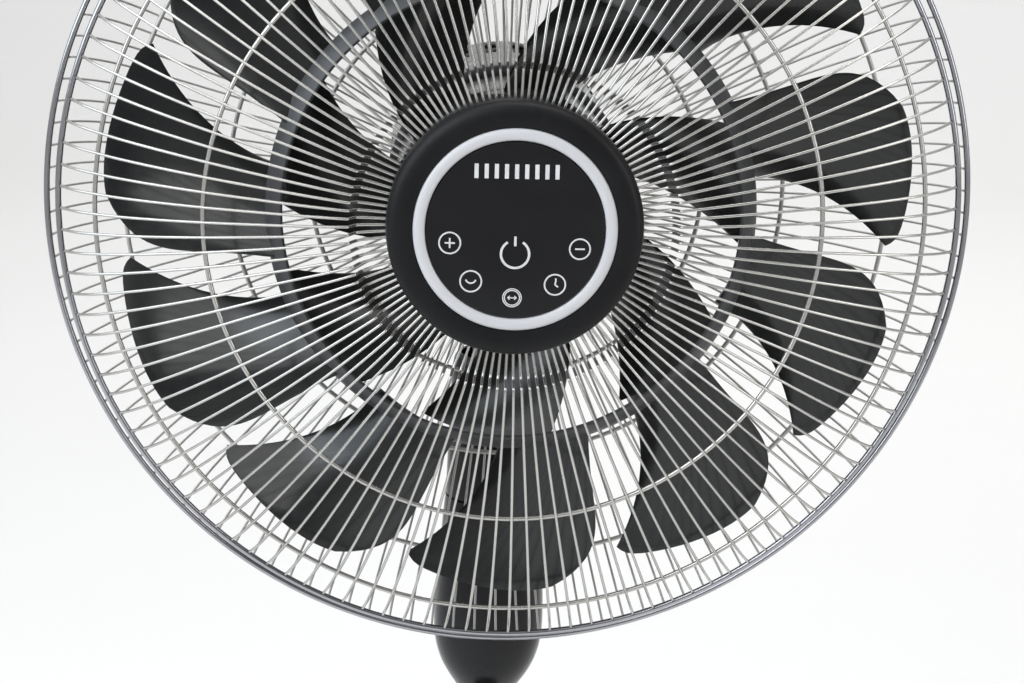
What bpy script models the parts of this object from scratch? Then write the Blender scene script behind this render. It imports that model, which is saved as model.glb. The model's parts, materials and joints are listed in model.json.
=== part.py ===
"""Pedestal fan with a touch panel in the middle of its wire guard.

The fan stands on the floor at z = 0 with its pole on the Z axis and blows towards -Y.
Lengths below are in millimetres and are turned into metres where meshes are made.
The head is drawn in a frame of its own, whose Z axis runs forwards along the fan axis
from the plane of the rear guard's rim, so that a depth there is a plain number.
"""

import bmesh
import bpy
from math import cos, pi, radians, sin
from mathutils import Matrix, Vector

MM = 0.001
GAP = 0.3
SLIDING = 0.12
RUNNING = 0.3
ROUND = 16
WIDE_ROUND = 24

# Driving dimensions
AXIS_HEIGHT = 905.0
BASE_RADIUS = 190.0
RIM_PLANE_Y = -112.0
REAR_RIM_RADIUS = 228.8
FRONT_RIM_RADIUS = 221.4
BLADE_TIP_RADIUS = 200.0
IMPELLER_RING_RADIUS = 116.0
HUB_RADIUS = 58.0
OUTER_BLADES = 11
INNER_BLADES = 7
GUARD_SPOKES = 24
CAP_RADIUS = 60.7
HOUSING_RADIUS = 60.0

# Pole, collar and neck
LOWER_POLE_RADIUS = 16.0
UPPER_POLE_RADIUS = 12.0
LOWER_POLE_TOP = 470.0
NECK_BOTTOM = 597.5
SEAM_HEIGHT = AXIS_HEIGHT - 184.0
TILT_HEIGHT = AXIS_HEIGHT - 82.0
UPPER_POLE_BOTTOM = 235.0
SOCKET_TOP = 650.0
SOCKET_DEPTH = 24.0

# Swivel gears
GEAR_MODULE = 0.8
GEAR_TEETH = 30
PINION_TEETH = 12
GEAR_CENTRES = GEAR_MODULE * (GEAR_TEETH + PINION_TEETH) / 2

# Depths along the fan axis, forwards from the rear rim
PLATE_DEPTH = -52.0
HOUSING_SPLIT = -92.0
HOUSING_END = -186.0
HUB_FRONT = 18.0
HUB_BACK = -34.0
CAP_EDGE = 62.0
CAP_FACE = 74.0
FRONT_RIM_DEPTH = 14.0

# Walls, bores and circles that several pieces share
TUBE_WALL = 1.5
COVER_WALL = 2.5
THREAD_BORE = 18.9
FOOT_CIRCLE = 138.0
CAP_SCREW_OFFSET = 22.0
PANEL_RADIUS = 41.8

FINISHES = {
    "gloss_black": ((0.012, 0.012, 0.014), 0.12, 0.0),
    "satin_black": ((0.035, 0.037, 0.04), 0.4, 0.0),
    "blade_black": ((0.02, 0.021, 0.023), 0.28, 0.0),
    "chrome_wire": ((0.72, 0.7, 0.67), 0.22, 1.0),
    "ring_grey": ((0.62, 0.62, 0.65), 0.35, 0.0),
    "steel": ((0.55, 0.55, 0.56), 0.35, 1.0),
    "cast_iron": ((0.1, 0.1, 0.1), 0.7, 1.0),
    "copper": ((0.6, 0.27, 0.12), 0.35, 1.0),
    "rubber": ((0.02, 0.02, 0.02), 0.8, 0.0),
    "white_plastic": ((0.75, 0.75, 0.72), 0.45, 0.0),
    "board_green": ((0.02, 0.16, 0.07), 0.5, 0.0),
    "magnet": ((0.08, 0.08, 0.085), 0.6, 0.5),
}


def clear_scene():
    for old in list(bpy.data.objects):
        bpy.data.objects.remove(old, do_unlink=True)


def make_collection(name):
    collection = bpy.data.collections.new(name)
    bpy.context.scene.collection.children.link(collection)
    return collection


def make_material(name):
    colour, roughness, metallic = FINISHES[name]
    material = bpy.data.materials.new(name)
    material.use_nodes = True
    shader = material.node_tree.nodes["Principled BSDF"]
    shader.inputs["Base Color"].default_value = (*colour, 1.0)
    shader.inputs["Roughness"].default_value = roughness
    shader.inputs["Metallic"].default_value = metallic
    return material


clear_scene()
FAN = make_collection("pedestal_fan")
CUTTERS = make_collection("cutters")
CUTTERS.hide_render = True
MATERIALS = {name: make_material(name) for name in FINISHES}


def make_empty(name, location, parent=None, rotation=(0.0, 0.0, 0.0)):
    empty = bpy.data.objects.new(name, None)
    empty.location = [value * MM for value in location]
    empty.rotation_euler = rotation
    empty.parent = parent
    FAN.objects.link(empty)
    return empty


POLE_FRAME = make_empty("pole_axis", (0, 0, 0))
MAST_FRAME = make_empty("mast_slide", (0, 0, 0))
SWIVEL_FRAME = make_empty("swivel_pivot", (0, 0, 0))
PINION_FRAME = make_empty("pinion_pivot", (0, GEAR_CENTRES, 0), MAST_FRAME)
TILT_FRAME = make_empty("tilt_pivot", (0, 0, TILT_HEIGHT), SWIVEL_FRAME)
HEAD_FRAME = make_empty(
    "fan_axis", (0, RIM_PLANE_Y, AXIS_HEIGHT - TILT_HEIGHT), TILT_FRAME, (radians(90), 0, 0)
)
ROTOR_FRAME = make_empty("rotor_pivot", (0, 0, 0), HEAD_FRAME)


def add_object(name, mesh, finish, parent, location=(0, 0, 0), rotation=(0, 0, 0), smooth=True):
    piece = bpy.data.objects.new(name, mesh)
    piece.location = [value * MM for value in location]
    piece.rotation_euler = rotation
    piece.parent = parent
    if finish is None:
        piece.hide_render = True
        piece.display_type = "WIRE"
        CUTTERS.objects.link(piece)
        return piece
    mesh.materials.append(MATERIALS[finish])
    if smooth and mesh.polygons:
        mesh.shade_smooth()
        mesh.set_sharp_from_angle(angle=radians(35))
    FAN.objects.link(piece)
    return piece


def turned(name, profile, finish, parent, location=(0, 0, 0), rotation=(0, 0, 0), ring=False, steps=ROUND):
    """A profile of (radius, height) points, top to bottom on its outside, turned about Z.

    A ring's profile closes on itself, and any other starts and ends on the axis.
    """
    mesh = bpy.data.meshes.new(name)
    points = [(radius * MM, 0, height * MM) for radius, height in profile]
    edges = [(i, i + 1) for i in range(len(points) - 1)]
    if ring:
        edges.append((len(points) - 1, 0))
    mesh.from_pydata(points, edges, [])
    piece = add_object(name, mesh, finish, parent, location, rotation)
    screw = piece.modifiers.new("turn", "SCREW")
    screw.steps = steps
    screw.render_steps = steps
    screw.use_merge_vertices = True
    screw.merge_threshold = 0.00001
    screw.use_smooth_shade = True
    return piece


def tube_profile(outer, inner, top, bottom, edge=0.0):
    """A plain tube's closed profile, with its outer corners cut by edge."""
    if not edge:
        return [(outer, top), (outer, bottom), (inner, bottom), (inner, top)]
    return [
        (outer - edge, top),
        (outer, top - edge),
        (outer, bottom + edge),
        (outer - edge, bottom),
        (inner, bottom),
        (inner, top),
    ]


def disc_profile(radius, top, bottom, edge=0.0):
    """A solid disc's profile, with its outer corners cut by edge."""
    if not edge:
        return [(0, top), (radius, top), (radius, bottom), (0, bottom)]
    return [
        (0, top),
        (radius - edge, top),
        (radius, top - edge),
        (radius, bottom + edge),
        (radius - edge, bottom),
        (0, bottom),
    ]


def block(name, size, centre, finish, parent, edge=0.0, rotation=(0, 0, 0)):
    """A box of the given size, its edges rounded by edge."""
    shape = bmesh.new()
    bmesh.ops.create_cube(shape, size=1.0)
    bmesh.ops.scale(shape, vec=[side * MM for side in size], verts=shape.verts)
    mesh = bpy.data.meshes.new(name)
    shape.to_mesh(mesh)
    shape.free()
    piece = add_object(name, mesh, finish, parent, centre, rotation)
    if edge:
        bevel = piece.modifiers.new("edges", "BEVEL")
        bevel.width = edge * MM
        bevel.segments = 2
        bevel.limit_method = "ANGLE"
    return piece


def rod_cutter(name, radius, length, centre, parent, rotation=(0, 0, 0), sides=24):
    """A cylinder that only cuts, its length along its own Z."""
    shape = bmesh.new()
    bmesh.ops.create_cone(
        shape, cap_ends=True, segments=sides, radius1=radius * MM, radius2=radius * MM, depth=length * MM
    )
    mesh = bpy.data.meshes.new(name)
    shape.to_mesh(mesh)
    shape.free()
    return add_object(name, mesh, None, parent, centre, rotation)


def combine(piece, other, operation="DIFFERENCE"):
    boolean = piece.modifiers.new(operation.lower(), "BOOLEAN")
    boolean.operation = operation
    boolean.solver = "EXACT"
    boolean.object = other
    return piece


def extruded(name, outline, bottom, top, finish, parent, place=(0, 0, 0), rotation=(0, 0, 0), holes=()):
    """A flat outline in X and Y, with round or toothed holes, as thick as top minus bottom."""
    curve = bpy.data.curves.new(name, "CURVE")
    curve.dimensions = "2D"
    curve.fill_mode = "BOTH"
    curve.extrude = (top - bottom) / 2 * MM
    for loop in (outline, *holes):
        spline = curve.splines.new("POLY")
        spline.points.add(len(loop) - 1)
        for point, (x, y) in zip(spline.points, loop):
            point.co = (x * MM, y * MM, 0, 1)
        spline.use_cyclic_u = True
    helper = bpy.data.objects.new(name + "_outline", curve)
    FAN.objects.link(helper)
    bpy.context.view_layer.update()
    graph = bpy.context.evaluated_depsgraph_get()
    mesh = bpy.data.meshes.new_from_object(helper.evaluated_get(graph))
    bpy.data.objects.remove(helper, do_unlink=True)
    shape = bmesh.new()
    shape.from_mesh(mesh)
    bmesh.ops.remove_doubles(shape, verts=shape.verts, dist=0.000001)
    bmesh.ops.recalc_face_normals(shape, faces=shape.faces)
    shape.to_mesh(mesh)
    shape.free()
    middle = Matrix.Translation((0, 0, (top + bottom) / 2 * MM))
    mesh.transform(middle)
    mesh.materials.clear()
    mesh.name = name
    return add_object(name, mesh, finish, parent, place, rotation)


def circle(radius, centre=(0, 0), sides=ROUND, start=0.0, sweep=2 * pi):
    """Points round a circle, or along an arc of it when sweep is less than a turn."""
    whole = abs(sweep - 2 * pi) < 1e-9
    turns = [start + sweep * i / sides for i in range(sides if whole else sides + 1)]
    return [(centre[0] + radius * cos(turn), centre[1] + radius * sin(turn)) for turn in turns]


# ---------------------------------------------------------------- base and pole


def make_base():
    """The weighted foot: a thin domed cover over an iron plate on four rubber feet."""
    outside = [(21.8, 50), (34, 48), (60, 41), (160, 25.5), (184, 20)]
    inner = BASE_RADIUS - COVER_WALL
    side = [(BASE_RADIUS, 14), (BASE_RADIUS, 3), (inner, 3), (inner, 13.5)]
    inside = [(182.5, 17.7), (160, 23), (60, 38.4), (34, 45.4), (21.8, 47.4)]
    profile = outside + side + inside
    cover = turned("base_cover", profile, "gloss_black", POLE_FRAME, ring=True, steps=WIDE_ROUND)
    inlet = (0, BASE_RADIUS - 9, 9)
    along_y = (radians(90), 0, 0)
    combine(cover, rod_cutter("inlet_hole", 4.9, 30, inlet, POLE_FRAME, along_y))
    jack = turned("dc_inlet", disc_profile(4.5, 9, -9), "satin_black", POLE_FRAME, inlet, along_y)
    jack_mouth = (0, BASE_RADIUS - 3, 9)
    combine(jack, rod_cutter("inlet_bore", 3.2, 12, jack_mouth, POLE_FRAME, along_y, sides=16))
    turned("base_weight", tube_profile(155, 16.5, 14.8, 4.8, 1.5), "cast_iron", POLE_FRAME, ring=True)
    for number, turn in enumerate((45, 135, 225, 315), start=1):
        place = (FOOT_CIRCLE * cos(radians(turn)), FOOT_CIRCLE * sin(radians(turn)), 0)
        foot = disc_profile(11, 4.5, 0, 1.0)
        turned(f"base_foot_{number}", foot, "rubber", POLE_FRAME, place)


def make_lower_pole():
    """The fixed pole, bolted into its socket, with the threaded collar at its top."""
    outer = LOWER_POLE_RADIUS + GAP
    socket = [(21, 76), (21, 21), (34, 21), (34, 15.1), (4.4, 15.1), (4.4, 21)]
    socket += [(outer, 21), (outer, 78), (19, 78)]
    turned("pole_socket", socket, "satin_black", POLE_FRAME, ring=True)
    bore = LOWER_POLE_RADIUS - TUBE_WALL
    pole = [(LOWER_POLE_RADIUS, LOWER_POLE_TOP), (LOWER_POLE_RADIUS, 21.3), (4.4, 21.3), (4.4, 25)]
    pole += [(bore, 25), (bore, LOWER_POLE_TOP)]
    turned("pole_lower", pole, "gloss_black", POLE_FRAME, ring=True)
    bolt = [(0, 40), (4, 40), (4, 14.8), (9, 14.8), (9, 9), (0, 9)]
    turned("pole_bolt", bolt, "steel", POLE_FRAME)
    nut_hole = [circle(4.2, sides=24)]
    extruded("pole_nut", circle(8, sides=6), 25.3, 31.5, "steel", POLE_FRAME, holes=nut_hole)
    top = LOWER_POLE_TOP
    collar = [(13.3, top + 22), (18, top + 22), (18, top - 15), (20.5, top - 15), (20.5, top - 45)]
    collar += [(outer, top - 45), (outer, top + GAP), (13.3, top + GAP)]
    turned("collar_thread", collar, "satin_black", POLE_FRAME, ring=True)
    slide = UPPER_POLE_RADIUS + SLIDING
    bush = [(slide, top + 28), (14, top + 28), (16, top + 24.5), (16, top + 22.4), (13, top + 22.4)]
    bush += [(13, top + 2), (slide, top + 2)]
    turned("pole_bush", bush, "white_plastic", POLE_FRAME, ring=True)
    nut = [(12.7, top + 34), (20, top + 34), (23, top + 30), (23, top - 12), (21.5, top - 14)]
    nut += [(THREAD_BORE, top - 14), (THREAD_BORE, top + 28.5), (12.7, top + 28.5)]
    turned("height_collar", nut, "satin_black", POLE_FRAME, ring=True)


# ---------------------------------------------------------------- sliding mast and neck


def make_mast():
    """The sliding pole with the neck's lower shell, which holds the swivel motor."""
    radius = UPPER_POLE_RADIUS
    pole = tube_profile(radius, radius - TUBE_WALL, SOCKET_TOP - 4.6, UPPER_POLE_BOTTOM)
    turned("pole_upper", pole, "chrome_wire", MAST_FRAME, ring=True)
    low = UPPER_POLE_BOTTOM
    glide = [(10.2, low + 11), (10.2, low - GAP), (14.3, low - GAP), (14.3, low - 13)]
    glide += [(8, low - 13), (8, low + 11)]
    turned("pole_glide", glide, "white_plastic", MAST_FRAME, ring=True)
    top = SOCKET_TOP
    mouth = top - SOCKET_DEPTH
    socket = [(4, top + 2), (26, top + 2), (26, top - 2), (19.5, top - 4), (19.5, mouth)]
    socket += [(radius + GAP, mouth), (radius + GAP, top - 4.1), (4, top - 4.1)]
    turned("neck_socket", socket, "satin_black", MAST_FRAME, ring=True)
    base, seam = NECK_BOTTOM, SEAM_HEIGHT
    outside = [(25.7, seam), (28, seam - 31), (30, seam - 58), (30.2, base + 53.5), (29.8, base + 44)]
    outside += [(28, base + 34.5), (24.3, base + 25), (18.3, base + 15.3), (14.2, base + 9), (13.8, base)]
    inside = [(12.7, base), (12.7, base + 11.5), (15.6, base + 16), (21.6, base + 25.6), (25.5, base + 35.5)]
    inside += [(27.2, base + 45), (27.7, seam - 71), (27.5, seam - 58), (25.5, seam - 31), (23.2, seam)]
    turned("neck_lower_shell", outside + inside, "gloss_black", MAST_FRAME, ring=True)
    motor = disc_profile(17, top + 18, top + 2.3, 1.5)
    turned("swivel_motor", motor, "steel", MAST_FRAME, (0, 7, 0))
    bearing = tube_profile(23.2, 7 + RUNNING, seam - 10, seam - 20, 1.0)
    turned("swivel_bearing", bearing, "white_plastic", MAST_FRAME, ring=True)


def gear_outline(teeth, phase, backlash=0.12):
    """The outline of a spur gear with straight flanks, its first tooth at the angle phase."""
    pitch = GEAR_MODULE * teeth / 2
    root, tip = pitch - 1.2 * GEAR_MODULE, pitch + GEAR_MODULE
    steps = [(root, -0.37), (tip, -0.11), (tip, 0.11), (root, 0.37)]
    points = []
    for tooth in range(teeth):
        for radius, share in steps:
            slack = backlash / radius if share < 0 else -backlash / radius
            turn = phase + (tooth + share) * 2 * pi / teeth + slack
            points.append((radius * cos(turn), radius * sin(turn)))
    return points


def make_swivel():
    """The gears, the hollow shaft and the neck's upper shell, which swing from side to side."""
    low = SOCKET_TOP + 22
    gear = gear_outline(GEAR_TEETH, pi / 2)
    bore = [circle(7.3, sides=32)]
    extruded("swivel_gear", gear, low, low + 6, "white_plastic", SWIVEL_FRAME, holes=bore)
    pinion = gear_outline(PINION_TEETH, -pi / 2 + pi / PINION_TEETH)
    extruded("swivel_pinion", pinion, low - 3, low + 8, "white_plastic", PINION_FRAME)
    seam = SEAM_HEIGHT
    shaft = [(7, seam + 19), (7, seam + 7.5), (16, seam + 7.5), (16, seam + 3.9), (7, seam + 3.9)]
    shaft += [(7, low - 2), (4, low - 2), (4, seam + 19)]
    turned("swivel_shaft", shaft, "steel", SWIVEL_FRAME, ring=True)
    outside = [(19.2, seam + 80), (20.5, seam + 80.5), (22.5, seam + 79), (24, seam + 70)]
    outside += [(24.6, seam + 49), (25.2, seam + 19), (25.5, seam + 0.8), (7.4, seam + 0.8)]
    outside += [(7.4, seam + 3.5), (22.8, seam + 3.5)]
    inside = [(22.6, seam + 19), (22, seam + 49), (21.2, seam + 69), (19.2, seam + 77)]
    turned("neck_upper_shell", outside + inside, "gloss_black", SWIVEL_FRAME, ring=True)


# The planes of the yoke and the lug stand across X: their outlines are drawn in Y and Z.
ACROSS_X = (radians(90), 0, radians(90))


def make_tilt_joint():
    """The yoke on the neck, the lug under the motor housing, and the bolt and nut between them."""
    foot = SEAM_HEIGHT + 7.8 - TILT_HEIGHT
    pivot = (0, 0, TILT_HEIGHT)
    outline = [(-12, foot), (12, foot), *circle(12, sides=12, sweep=pi)]
    yoke = extruded("tilt_yoke", outline, -13, 13, "satin_black", SWIVEL_FRAME, pivot, ACROSS_X)
    slot_floor = SEAM_HEIGHT + 44
    slot = block("yoke_slot", (17.8, 60, 120), (0, 0, slot_floor + 60), None, SWIVEL_FRAME)
    combine(yoke, slot)
    combine(yoke, rod_cutter("yoke_wire_hole", 7.3, 60, (0, 0, SEAM_HEIGHT + 30), SWIVEL_FRAME))
    along_x = (0, radians(90), 0)
    hole = rod_cutter("yoke_bolt_hole", 3.2, 40, pivot, SWIVEL_FRAME, along_x)
    combine(yoke, hole)
    lift = AXIS_HEIGHT - HOUSING_RADIUS - TILT_HEIGHT - 0.4
    outline = [*circle(12, sides=12, start=pi, sweep=pi), (12, 9), (20, lift), (-20, lift), (-12, 9)]
    lug_hole = [circle(3.2, sides=24)]
    extruded("tilt_lug", outline, -8.6, 8.6, "satin_black", TILT_FRAME, (0, 0, 0), ACROSS_X, lug_hole)
    bolt = [(0, 20), (3, 20), (3, -13.3), (6, -13.3), (6, -16.5), (0, -16.5)]
    turned("tilt_bolt", bolt, "steel", SWIVEL_FRAME, pivot, along_x)
    nut_hole = [circle(3.15, sides=24)]
    extruded("tilt_nut", circle(6, sides=6), 13.3, 18, "steel", SWIVEL_FRAME, pivot, along_x, nut_hole)


# ---------------------------------------------------------------- motor


def make_motor_housing():
    """Front and rear shells, the hollow axle, the stator and the board behind it."""
    plate, split, radius = PLATE_DEPTH, HOUSING_SPLIT, HOUSING_RADIUS
    front = [(15, -6), (19.7, -6), (19.7, plate + 14), (30, plate + 14), (30, plate), (57, plate)]
    inner = radius - COVER_WALL
    front += [(radius, plate - 3), (radius, split), (inner, split), (inner, plate - 4)]
    front += [(6.5, plate - 4), (6.5, plate + 12), (15, plate + 12)]
    turned("motor_housing_front", front, "gloss_black", HEAD_FRAME, ring=True)
    end = HOUSING_END
    rear = [(radius, split - GAP), (radius, end + 26), (57, end + 14), (49, end + 5), (38, end + 1)]
    rear += [(0, end), (0, end + 2.5), (37, end + 3.5), (47.5, end + 7.3), (54.6, end + 15.3)]
    rear += [(radius - COVER_WALL, end + 26.5), (radius - COVER_WALL, split - GAP)]
    turned("motor_housing_rear", rear, "gloss_black", HEAD_FRAME, ring=True)
    axle = [(6, 49), (6, plate - 4.3), (20, plate - 4.3), (20, plate - 8), (3.5, plate - 8), (3.5, 49)]
    turned("hollow_axle", axle, "steel", HEAD_FRAME, ring=True)
    board = tube_profile(46, 8, split - 14, split - 15.6)
    turned("driver_board", board, "board_green", HEAD_FRAME, ring=True)


def stator_outline(teeth=12):
    """A laminated core seen end on: a yoke ring with one wide-headed tooth for each coil."""
    steps = [(26, -0.5), (26, -0.2), (39, -0.16), (40.5, -0.42), (42.8, -0.42), (42.8, 0.0)]
    steps += [(42.8, 0.42), (40.5, 0.42), (39, 0.16), (26, 0.2)]
    points = []
    for tooth in range(teeth):
        for radius, share in steps:
            turn = (tooth + share) * 2 * pi / teeth
            points.append((radius * cos(turn), radius * sin(turn)))
    return points


def make_motor():
    """Stator and windings on the housing's neck, and the outer rotor that turns round them."""
    bore = [circle(20)]
    extruded("stator_core", stator_outline(), -26, -4, "steel", HEAD_FRAME, holes=bore)
    windings = {"winding_front": (1.5, -3.7), "winding_rear": (-26.3, -31.5)}
    for name, (top, bottom) in windings.items():
        edge = 1.5
        section = [(38, top), (38 + edge, top - edge), (38 + edge, bottom + edge), (38, bottom)]
        section += [(28, bottom), (28 - edge, bottom + edge), (28 - edge, top - edge), (28, top)]
        turned(name, section, "copper", HEAD_FRAME, ring=True)
    bell = [(10.3, 27), (12.5, 27), (12.5, 10), (49, 10), (50, 9), (50, -30), (47.5, -30), (47.5, 7)]
    bell += [(12.5, 7), (12.5, -28), (10.3, -28)]
    turned("rotor_bell", bell, "steel", ROTOR_FRAME, ring=True)
    turned("magnet_ring", tube_profile(47.2, 44.2, 2, -28), "magnet", ROTOR_FRAME, ring=True)
    for name, top in {"bearing_front": 25, "bearing_rear": -18}.items():
        race = tube_profile(10, 6 + RUNNING, top, top - 8, 0.5)
        turned(name, race, "steel", ROTOR_FRAME, ring=True)
    nut = tube_profile(21, 12.9, HUB_FRONT + 9, HUB_FRONT + 0.4, 2.0)
    turned("blade_nut", nut, "satin_black", ROTOR_FRAME, ring=True)


# ---------------------------------------------------------------- impeller


def outer_blade_point(along, across):
    """A point of an outer blade, from its root to its tip and from its front edge to its rear edge.

    Angles are degrees the way that the blades turn, which is clockwise seen from the front.
    """
    root = IMPELLER_RING_RADIUS - 2.5
    tip = BLADE_TIP_RADIUS - 4.5 * across**1.5 - 3 * (1 - across) ** 6 - 5 * across**24
    radius = root + along * (tip - root)
    front_edge = -19.4 - 4 * (1 - along) ** 3 + 9 * along**6
    rear_edge = -2.4 + 14 * along**1.5
    turn = front_edge + across * (rear_edge - front_edge)
    camber = 3.5 * sin(pi * across)
    front_depth = 29 - 17 * along
    rear_depth = 3 - 13 * along
    depth = front_depth + across * (rear_depth - front_depth) + camber
    return radius, turn, depth


def inner_blade_point(along, across):
    """A point of an inner blade, which joins the hub to the ring."""
    root = HUB_RADIUS - 1.5
    radius = root + along * (IMPELLER_RING_RADIUS - 2 - root)
    turn = -8 + 20 * along + 32 * (across - 0.5)
    front_depth = 12 + 19 * along
    rear_depth = -24 + 32 * along
    camber = 3 * sin(pi * across)
    return radius, turn, front_depth + across * (rear_depth - front_depth) + camber


def blade_ring(name, count, first_angle, point, columns, rows):
    """Equal blades round the axis as one cutter, each a curved sheet made solid."""
    shape = bmesh.new()
    for number in range(count):
        grid = bmesh.ops.create_grid(shape, x_segments=columns, y_segments=rows, size=0.5)
        for vertex in grid["verts"]:
            radius, turn, depth = point(vertex.co.x + 0.5, vertex.co.y + 0.5)
            angle = -radians(first_angle + number * 360 / count + turn)
            vertex.co = Vector((radius * cos(angle), radius * sin(angle), depth)) * MM
    mesh = bpy.data.meshes.new(name)
    shape.to_mesh(mesh)
    shape.free()
    blades = add_object(name, mesh, None, ROTOR_FRAME)
    sheet = blades.modifiers.new("sheet", "SOLIDIFY")
    sheet.thickness = 2.0 * MM
    sheet.offset = 0.0
    return blades


def make_impeller():
    """Hub, inner blades, ring and outer blades, moulded as one piece."""
    front = HUB_FRONT
    hub = [(12.9, front), (46, front), (54, front - 3), (HUB_RADIUS, front - 9), (HUB_RADIUS, HUB_BACK)]
    hub += [(55.5, HUB_BACK), (55.5, front - 11), (51.5, front - 6.5), (12.9, front - 6.5)]
    impeller = turned("impeller", hub, "blade_black", ROTOR_FRAME, ring=True)
    middle = IMPELLER_RING_RADIUS
    band = [(middle - 4, 34), (middle + 3.5, 24), (middle + 2, 22.6), (middle - 5.5, 32.6)]
    ring = turned("impeller_ring", band, None, ROTOR_FRAME, ring=True, steps=WIDE_ROUND)
    inner = blade_ring("inner_blades", INNER_BLADES, 31.7, inner_blade_point, 3, 3)
    outer = blade_ring("outer_blades", OUTER_BLADES, 27.0, outer_blade_point, 4, 3)
    combine(impeller, inner, "UNION")
    combine(impeller, ring, "UNION")
    combine(impeller, outer, "UNION")


# ---------------------------------------------------------------- wire guards


def wire_dish(name, rings, solid_rows, finish):
    """A dish of rings and spokes: a turned sheet whose windows are cut out between its bars."""
    bar = 1.2
    shape = bmesh.new()
    corners = [shape.verts.new((radius * MM, 0, depth * MM)) for radius, depth in rings]
    for start, end in zip(corners, corners[1:]):
        shape.edges.new((start, end))
    bmesh.ops.spin(
        shape, geom=shape.verts[:] + shape.edges[:], cent=(0, 0, 0), axis=(0, 0, 1),
        angle=2 * pi, steps=GUARD_SPOKES, use_merge=True,
    )
    bmesh.ops.remove_doubles(shape, verts=shape.verts, dist=0.000001)
    limits = [(rings[row][0] * MM, rings[row + 1][0] * MM) for row in solid_rows]
    windows = []
    for face in shape.faces:
        reach = [vertex.co.xy.length for vertex in face.verts]
        closed = any(low - 1e-5 < min(reach) and max(reach) < high + 1e-5 for low, high in limits)
        if not closed:
            windows.append(face)
    bmesh.ops.inset_individual(shape, faces=windows, thickness=bar * MM, use_even_offset=True)
    bmesh.ops.delete(shape, geom=windows, context="FACES")
    bmesh.ops.recalc_face_normals(shape, faces=shape.faces)
    mesh = bpy.data.meshes.new(name)
    shape.to_mesh(mesh)
    shape.free()
    dish = add_object(name, mesh, finish, HEAD_FRAME, smooth=False)
    sheet = dish.modifiers.new("sheet", "SOLIDIFY")
    sheet.thickness = 2 * bar * MM
    sheet.offset = 0.0
    return dish


def make_guards():
    """The two wire guards, the ring nut behind and the plate and clips that hold the front one."""
    plate = PLATE_DEPTH + 1.5
    rear = [(31, plate), (62, plate), (141, -46), (193, -34), (223.5, -7), (REAR_RIM_RADIUS - 1.2, 0.0)]
    wire_dish("rear_grille", rear, (0, 4), "chrome_wire")
    ring_nut = tube_profile(40, 30.3, plate + 9, plate + 1.5, 1.5)
    turned("grille_nut", ring_nut, "satin_black", HEAD_FRAME, ring=True)
    rim = FRONT_RIM_RADIUS
    centre = CAP_EDGE - 2
    front = [(50, centre), (63.5, centre), (78, centre + 6), (147, 55), (198, 35)]
    front += [(215.5, 20), (rim - 1.2, FRONT_RIM_DEPTH)]
    wire_dish("front_grille", front, (0, 5), "chrome_wire")
    back = centre - 1.5
    dish = [(59, back), (59, back - 6.5), (7, back - 6.5), (7, back - 4), (49.8, back - 4), (49.8, back)]
    hub_plate = turned("grille_hub_plate", dish, "satin_black", HEAD_FRAME, ring=True, steps=WIDE_ROUND)
    head, tip = back - 6.8, CAP_EDGE + 5.7
    screw = [(0, tip), (1.6, tip), (1.6, head), (3.2, head), (3.2, head - 2.2), (0, head - 2.2)]
    for number, side in enumerate((-CAP_SCREW_OFFSET, CAP_SCREW_OFFSET), start=1):
        place = (side, 0, back - 4)
        combine(hub_plate, rod_cutter(f"cap_screw_hole_{number}", 1.9, 12, place, HEAD_FRAME, sides=16))
        turned(f"cap_screw_{number}", screw, "steel", HEAD_FRAME, (side, 0, 0))
    for number, turn in enumerate((60, 90, 120), start=1):
        angle = radians(turn)
        reach = REAR_RIM_RADIUS + 2.1
        place = (reach * cos(angle), reach * sin(angle), FRONT_RIM_DEPTH / 2)
        size = (3, 14, FRONT_RIM_DEPTH + 12)
        block(f"rim_clip_{number}", size, place, "satin_black", HEAD_FRAME, 0.8, (0, 0, angle))


def make_control_panel():
    """The cap in the middle of the front guard with its grey ring and touch panel."""
    edge, face, radius = CAP_EDGE, CAP_FACE, CAP_RADIUS
    cap = [(48.4, face), (56, face), (radius - 1.3, face - 1.6), (radius, face - 5), (radius, edge - 0.4)]
    cap += [(49.4, edge - 0.4), (49.4, edge - 6), (47, edge - 6), (47, edge + 6), (5, edge + 6)]
    cap += [(5, edge + 8.5), (48.4, edge + 8.5)]
    turned("control_cap", cap, "satin_black", HEAD_FRAME, ring=True, steps=WIDE_ROUND)
    inner = PANEL_RADIUS + GAP
    ring = [(inner + 0.8, face + 0.6), (47.2, face + 0.6), (48.1, face - 0.2), (48.1, face - 3.2)]
    ring += [(inner, face - 3.2), (inner, face - 0.2)]
    turned("light_ring", ring, "ring_grey", HEAD_FRAME, ring=True, steps=WIDE_ROUND)
    board = disc_profile(40, face - 1.6, face - 3.1)
    turned("panel_board", board, "board_green", HEAD_FRAME, steps=WIDE_ROUND)
    panel = [(0, face + 1.2), (24, face + 1.1), (38, face + 0.8), (PANEL_RADIUS, face + 0.2)]
    panel += [(PANEL_RADIUS, face - 1.2), (0, face - 1.2)]
    turned("touch_panel", panel, "gloss_black", HEAD_FRAME, steps=WIDE_ROUND)
    cable = disc_profile(2.6, edge + 8, PLATE_DEPTH - 20)
    turned("panel_cable", cable, "rubber", HEAD_FRAME)


make_base()
make_lower_pole()
make_mast()
make_swivel()
make_tilt_joint()
make_motor_housing()
make_motor()
make_impeller()
make_guards()
make_control_panel()
bpy.context.view_layer.update()
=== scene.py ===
"""The finished look of a pedestal fan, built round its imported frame.

Every piece is made of mesh in the frame's own place and size, and rides on the frame's body
that carries it. Sizes inside the classes are in millimetres. Pieces of the head are laid out
in (radius, angle, depth): depth runs forwards along the fan axis from the rear rim's plane,
and angles are measured from the fan's right-hand side, upwards positive, seen from the front.
"""

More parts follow.
